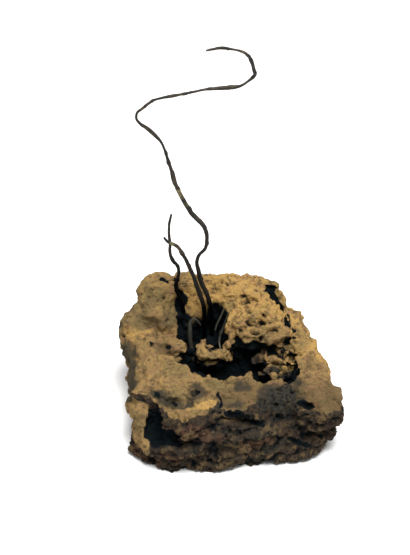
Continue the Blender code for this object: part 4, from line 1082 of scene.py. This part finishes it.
class StageSettings(bpy.types.PropertyGroup):
    """Floor, lights and camera."""

    floor_colour: colour_property("Floor", "Colour of the floor", (0.95, 0.95, 0.945))
    key: FloatProperty(
        name="Key", description="Power of the large light above and behind",
        default=5.2, min=0.0, unit="POWER")
    fill: FloatProperty(
        name="Fill", description="Power of the weak light in front", default=0.3, min=0.0, unit="POWER")
    sky_strength: FloatProperty(
        name="Surroundings", description="Brightness of the pale surroundings", default=0.42, min=0.0)
    camera_distance: FloatProperty(
        name="Camera distance", description="From the camera to the middle of the view",
        default=0.42, unit="LENGTH")
    camera_tilt: FloatProperty(
        name="Camera tilt", description="How far the camera looks down",
        default=math.radians(33.0), subtype="ANGLE")


# ---------------------------------------------------------------- pieces

def make_rock(settings):
    """The lump of vein rock: block, hollows, lumps, two reliefs and flat base, finer than its solid."""
    rock = object_from_rings("vein_rock", *block_rings(BLOCK_SIDES, BLOCK_RINGS))
    add_blobs(rock, SWELLINGS)
    fuse(rock, SHAPING_VOXEL)
    hollows = link("hollows", bpy.data.meshes.new("hollows"))
    add_blobs(hollows, HOLLOWS)
    add_blobs(hollows, CREVICES, CREVICE_DEPTH)
    fuse(hollows, SHAPING_VOXEL)
    modify(rock, "BOOLEAN", operation="DIFFERENCE", object=hollows)
    bpy.data.objects.remove(hollows)
    add_blobs(rock, LUMPS)
    add_blobs(rock, SMALL_LUMPS)
    fuse(rock, SHAPING_VOXEL)
    points, normals = read_points(rock.data), read_normals(rock.data)
    write_points(rock.data, points + normals * rock_relief(points, normals)[:, None])
    fuse(rock, settings.voxel * (1.0))
    keep_largest(rock)
    points, normals = read_points(rock.data), read_normals(rock.data)
    weathered, rubble = weathered_share(points), oval_share(points, "rubble")
    relief = fine_relief(points, normals, weathered, rubble) * settings.fine_height
    write_points(rock.data, hold_in_box(points + normals * relief[:, None], "matrix"))
    # share of the sky that each point sees, which the finish turns into painted shade
    sky = read_grid(sky_grid(), points + normals * SKY_STANDOFF)
    # the black patches add painted shade, partly black rock, to the black of the hollows
    lining = np.maximum(lining_and_shade_share(points, normals, sky), patch_share(points, BLACKENED_AND_SHADED, "blackened_and_shaded"))
    write_attributes(
        rock.data, relief=relief, sky=sky, lining=lining, weathered=weathered, tone=tone_and_light_share(points),
        rubble=rubble, stain=patch_share(points, DARK_PATCHES_AND_SHADE, "stain"),
        rusted=patch_share(points, RUSTED, "rusted"))
    flatten_base(rock)
    rock.data.shade_smooth()
    return rock


def hold_in_box(points, node):
    """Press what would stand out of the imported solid's box back into it.

    Within a margin of each wall, the distance to the wall shrinks by an exponential and never
    reaches nothing, so the rest of the surface stays where it is. The floor's side stays free.
    """
    low, high = (np.array(corner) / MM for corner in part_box(node))
    past_high = np.maximum(points - (high - BOX_MARGIN), 0.0)
    points = points - past_high + BOX_MARGIN * (1.0 - np.exp(-past_high / BOX_MARGIN))
    past_low = np.maximum(low + BOX_MARGIN - points, 0.0)
    past_low[:, 2] = 0.0
    return points + past_low - BOX_MARGIN * (1.0 - np.exp(-past_low / BOX_MARGIN))


def rock_finish(settings):
    """Weathered ochre on top, umber with rust and grey-green bands on broken faces, black in the hollows.

    The black in the hollows is partly the rock's own and partly painted shade. Painted shade also darkens
    pits, cracks and what sees little sky, and painted light pales the top to the back and on raised relief.
    """
    finish = Finish("Ochre vein rock")
    place, step, black_and_shade = finish.place(), finish.step, settings.black_and_shade
    relief, sky, lining, weathered, tone, rubble, stain, rusted = map(
        finish.attribute, ("relief", "sky", "lining", "weathered", "tone", "rubble", "stain", "rusted"))
    cloud = finish.noise(place, 7.0, 4.0)
    patch = finish.noise(place, 2.6, 4.0, 0.6, 0.4)
    blotch = finish.noise(place, 1.7, 3.0, 0.6, 0.6)
    mottle = finish.noise(place, 1.2, 3.0, 0.6)
    speckle = finish.noise(place, 0.6, 2.0, 0.6)
    fine = finish.noise(place, 0.35, 2.0, 0.6)
    layers = finish.noise(finish.stretch(place, (0.3, 0.3, 1.0)), 2.2, 4.0, 0.6)
    grain = 0.55 * mottle + 0.45 * speckle
    skin = finish.paint(
        settings.dun,
        # ochre and sand follow the paleness, which holds painted light; sand also gathers on raised relief as
        # painted light
        (settings.ochre, step(tone + 0.8 * patch, 0.35, 0.85)),
        (settings.sand, step(tone + 0.8 * patch + 0.25 * relief, 0.9, 1.4)),
        (settings.russet, 0.55 * step(blotch, 0.50, 0.64)),
        (settings.olive, 0.6 * step(cloud, 0.48, 0.64)),
        (settings.dun, 0.65 * step(mottle + 0.4 * patch, 0.68, 0.56)),
        (settings.umber, 0.55 * step(grain + 0.4 * patch, 0.66, 0.48)),
        (settings.sand, (0.1 + 0.4 * tone) * step(grain, 0.54, 0.66)),
        # painted shade: duller ochre where little of the sky is seen
        (settings.dun, 0.7 * step(sky, 0.72, 0.40)))
    broken = finish.paint(
        settings.umber,
        (settings.slate, 0.7 * step(layers, 0.46, 0.62)),
        (settings.rust, 0.9 * step(rusted + 0.5 * cloud + 0.4 * layers, 0.65, 1.1)),
        # paler dun on raised relief: partly paler grains and patches, partly painted light on the raised
        # edges
        (settings.dun, 0.7 * step(0.4 * grain + patch + 0.5 * relief, 0.70, 0.98)),
        # painted shade in the low places of the relief
        (black_and_shade, 0.5 * step(relief + 0.2 * patch, 0.15, -0.45)))
    colour = finish.paint(
        broken,
        (skin, step(weathered + 0.4 * patch - 0.4 * rubble, 0.45, 0.85)),
        # grey-green patches, painted shade in the shallow hollows of the apron and the lip
        (settings.slate, 0.85 * stain),
        (black_and_shade, 0.8 * step(grain + 0.25 * weathered - 0.04 * stain, 0.47, 0.37)),
        # painted shade: black in pits, cracks and pressed marks
        (black_and_shade, step(relief + 0.25 * weathered, -0.1, -0.85)),
        # painted shade: black where almost no sky is seen
        (black_and_shade, 0.85 * step(sky, 0.34, 0.10)),
        # black in the hollows: partly the rock's own black and partly painted shade
        (black_and_shade, step(lining + 0.2 * patch + 0.5 * grain, 0.55, 0.95)))
    return finish.shade({
        "Base Color": colour, "Roughness": 0.78 + 0.2 * speckle, "Specular IOR Level": 0.05,
        "Normal": finish.bump(0.4 * fine + grain, 0.6, 1.0)})


def make_wire(name, stations, settings):
    """One wire: a furrowed, slowly twisting profile carried along its stations, from inside the rock.

    The radius at each angle is the wire's own times one plus three sets of furrows, which turn about
    the wire as they run along it, a slow swelling and thinning, a fine roughness and scattered knobs,
    all times the thickness of the wire's crust there.
    """
    stations = np.array(stations, dtype=float)
    stations[:, 3] *= 0.5
    stations = np.vstack([beyond(stations[0], stations[1], ROOT_LENGTH), stations])
    middles, radii, spokes, places, first, last = carry_profile(stations, settings.sides, settings.step)
    turn = np.linspace(0.0, 2.0 * math.pi, settings.sides, endpoint=False)[None, :]
    along = places[:, None]
    wander = smooth_noise(middles, 3.0, 201)[:, None]
    furrows = sum(
        strength * np.cos(count * turn + twist * along + sway * wander)
        for strength, count, twist, sway in FURROWS)
    surface = middles[:, None, :] + radii[:, None, None] * spokes
    rough = noises(surface, (1.0, 0.45, 211), (0.6, 0.9, 213))
    knobs = np.maximum(smooth_noise(surface, 1.3, 215) - KNOB_START, 0.0)
    uneven = 1.0 + settings.furrow * furrows + WIRE_SWELL * wander
    uneven = uneven + WIRE_ROUGHNESS * rough + WIRE_KNOBS * knobs
    crust = np.interp(places, *np.transpose(TARNISH_BUILD.get(name, EVEN_BUILD)))
    thickness = radii[:, None] * uneven * crust[:, None]
    wire = object_from_rings(name, middles[:, None, :] + thickness[..., None] * spokes, first, last)
    write_attributes(
        wire.data, along=np.concatenate([np.repeat(places, settings.sides), places[[0, -1]]]),
        rubbed=patch_share(read_points(wire.data), RUBBED, "rubbed"))
    wire.data.shade_smooth()
    return wire


def wire_finish(name, settings, grey):
    """Tarnished silver.

    In the hollow it is dull grey. Elsewhere it is black-brown, olive-gold where it is rubbed, and blacker
    towards its lower end, black as painted shade where it goes down into the dark hollow.
    """
    finish = Finish(name)
    place, along, step = finish.place(), finish.attribute("along"), finish.step
    cloud = finish.noise(place, 3.4, 4.0, 0.6)
    patch = finish.noise(place, 0.9, 4.0, 0.6)
    fine = finish.noise(finish.stretch(place, (1.0, 1.0, 0.3)), 0.25, 3.0, 0.6)
    colour = finish.paint(settings.tarnish, (settings.brown, step(cloud + 0.3 * patch, 0.60, 0.85)))
    if grey:
        rubbed = (0.45 + 0.25 * step(cloud + 0.6 * patch, 0.62, 0.95)) * (1.0 - 0.7 * step(along, 9.2, 10.6))
        colour = finish.paint(colour, (settings.grey, 0.9 * rubbed))
        metallic = 0.55 + 0.4 * rubbed
    else:
        rubbed = step(cloud + 0.6 * patch + 0.32 * finish.attribute("rubbed"), 0.98, 1.14)
        # painted shade: the tall wires turn black where they go down into the dark hollow
        painted_shade_in_hollow = step(along, 14.0, 9.5)
        colour = finish.paint(
            colour, (settings.gold, 0.9 * rubbed), (settings.tarnish, 0.8 * step(along, 30.0, 17.0)),
            (settings.black_and_shade, 0.5 * step(along, 25.0, 15.0) + 0.5 * painted_shade_in_hollow))
        metallic = 0.55 + 0.4 * rubbed + 0.45 * painted_shade_in_hollow
    return finish.shade({
        "Base Color": colour, "Metallic": metallic, "Roughness": 0.62 - 0.24 * rubbed + 0.1 * patch,
        "Normal": finish.bump(fine + 0.5 * patch, 0.05, 0.7)})


def hand_in(piece, node, slot, material):
    """A finished piece rides on the one body, stands for its solid and has its finish; the slot is not used.
    """
    piece.data.materials.clear()
    piece.data.materials.append(material)
    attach(piece, "root")
    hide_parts(node)


class SILVERWIRE_OT_rock(bpy.types.Operator):
    """Make the lump of vein rock"""

    bl_idname = "silverwire.rock"
    bl_label = "Vein Rock"

    def execute(self, context):
        settings = context.scene.silverwire_rock
        hand_in(make_rock(settings), "matrix", "vein_rock", rock_finish(settings))
        return {"FINISHED"}


class SILVERWIRE_OT_wires(bpy.types.Operator):
    """Make the wires of silver"""

    bl_idname = "silverwire.wires"
    bl_label = "Silver Wires"

    def execute(self, context):
        settings = context.scene.silverwire_wires
        tarnished = "tarnished_silver", wire_finish("Tarnished silver", settings, False)
        grey = "grey_silver", wire_finish("Grey silver", settings, True)
        for node, stations in WIRES.items():
            wire = make_wire("silver_" + node, stations, settings)
            hand_in(wire, node, *(grey if node.startswith("hollow") else tarnished))
        return {"FINISHED"}


class SILVERWIRE_OT_stage(bpy.types.Operator):
    """Lay the pale floor and set the lights and the camera"""

    bl_idname = "silverwire.stage"
    bl_label = "Floor, Lights and Camera"

    def execute(self, context):
        scene = context.scene
        settings = scene.silverwire_stage
        corners = [(x * FLOOR_HALF, y * FLOOR_HALF, 0.0) for x, y in ((-1, -1), (1, -1), (1, 1), (-1, 1))]
        mesh = bpy.data.meshes.new("floor")
        mesh.from_pydata(corners, [], [(0, 1, 2, 3)])
        floor = link("floor", mesh)
        paper = Finish("Pale floor")
        shade = tuple(FLOOR_SHADE * part for part in settings.floor_colour)
        colour = paper.paint(settings.floor_colour, (shade, paper.noise(paper.place(), 60.0, 2.0)))
        mesh.materials.append(paper.shade({
            "Base Color": colour, "Roughness": 0.95, "Specular IOR Level": 0.1}))
        scene.world = bpy.data.worlds.new("Pale surroundings")
        scene.world.use_nodes = True
        surroundings = scene.world.node_tree.nodes["Background"].inputs
        surroundings["Color"].default_value = (1.0, 1.0, 1.0, 1.0)
        surroundings["Strength"].default_value = settings.sky_strength
        for name, (size, place) in LIGHTS.items():
            light = link(name, bpy.data.lights.new(name, "AREA"))
            light.data.size = size
            light.data.energy = getattr(settings, name)
            light.location = place
            towards = Vector(LIGHT_TARGET) - Vector(place)
            light.rotation_euler = towards.to_track_quat("-Z", "Y").to_euler()
        camera = link("camera", bpy.data.cameras.new("camera"))
        for name, value in CAMERA.items():
            setattr(camera.data, name, value)
        tilt = settings.camera_tilt
        outward = Vector((0.0, -math.cos(tilt), math.sin(tilt)))
        camera.location = Vector(CAMERA_TARGET) + settings.camera_distance * outward
        camera.rotation_euler = (math.pi / 2.0 - tilt, 0.0, 0.0)
        scene.camera = camera
        scene.view_settings.view_transform = "Standard"
        return {"FINISHED"}


class SILVERWIRE_PT_pieces(bpy.types.Panel):
    """The pieces, in the order in which they are made"""

    bl_label = "Native Silver Wire"
    bl_space_type = "VIEW_3D"
    bl_region_type = "UI"
    bl_category = "Silver Wire"

    def draw(self, context):
        for operator in OPERATORS:
            self.layout.operator(operator.bl_idname)


SETTINGS = {
    "silverwire_rock": RockSettings,
    "silverwire_wires": WireSettings,
    "silverwire_stage": StageSettings,
}
OPERATORS = (SILVERWIRE_OT_stage, SILVERWIRE_OT_rock, SILVERWIRE_OT_wires)
CLASSES = (*SETTINGS.values(), *OPERATORS, SILVERWIRE_PT_pieces)


def register():
    for item in CLASSES:
        bpy.utils.register_class(item)
    for name, group in SETTINGS.items():
        setattr(bpy.types.Scene, name, PointerProperty(type=group))


def unregister():
    for name in SETTINGS:
        delattr(bpy.types.Scene, name)
    for item in reversed(CLASSES):
        bpy.utils.unregister_class(item)


def main():
    register()
    bpy.ops.silverwire.stage()
    bpy.ops.silverwire.rock()
    bpy.ops.silverwire.wires()


if __name__ == "__main__":
    main()
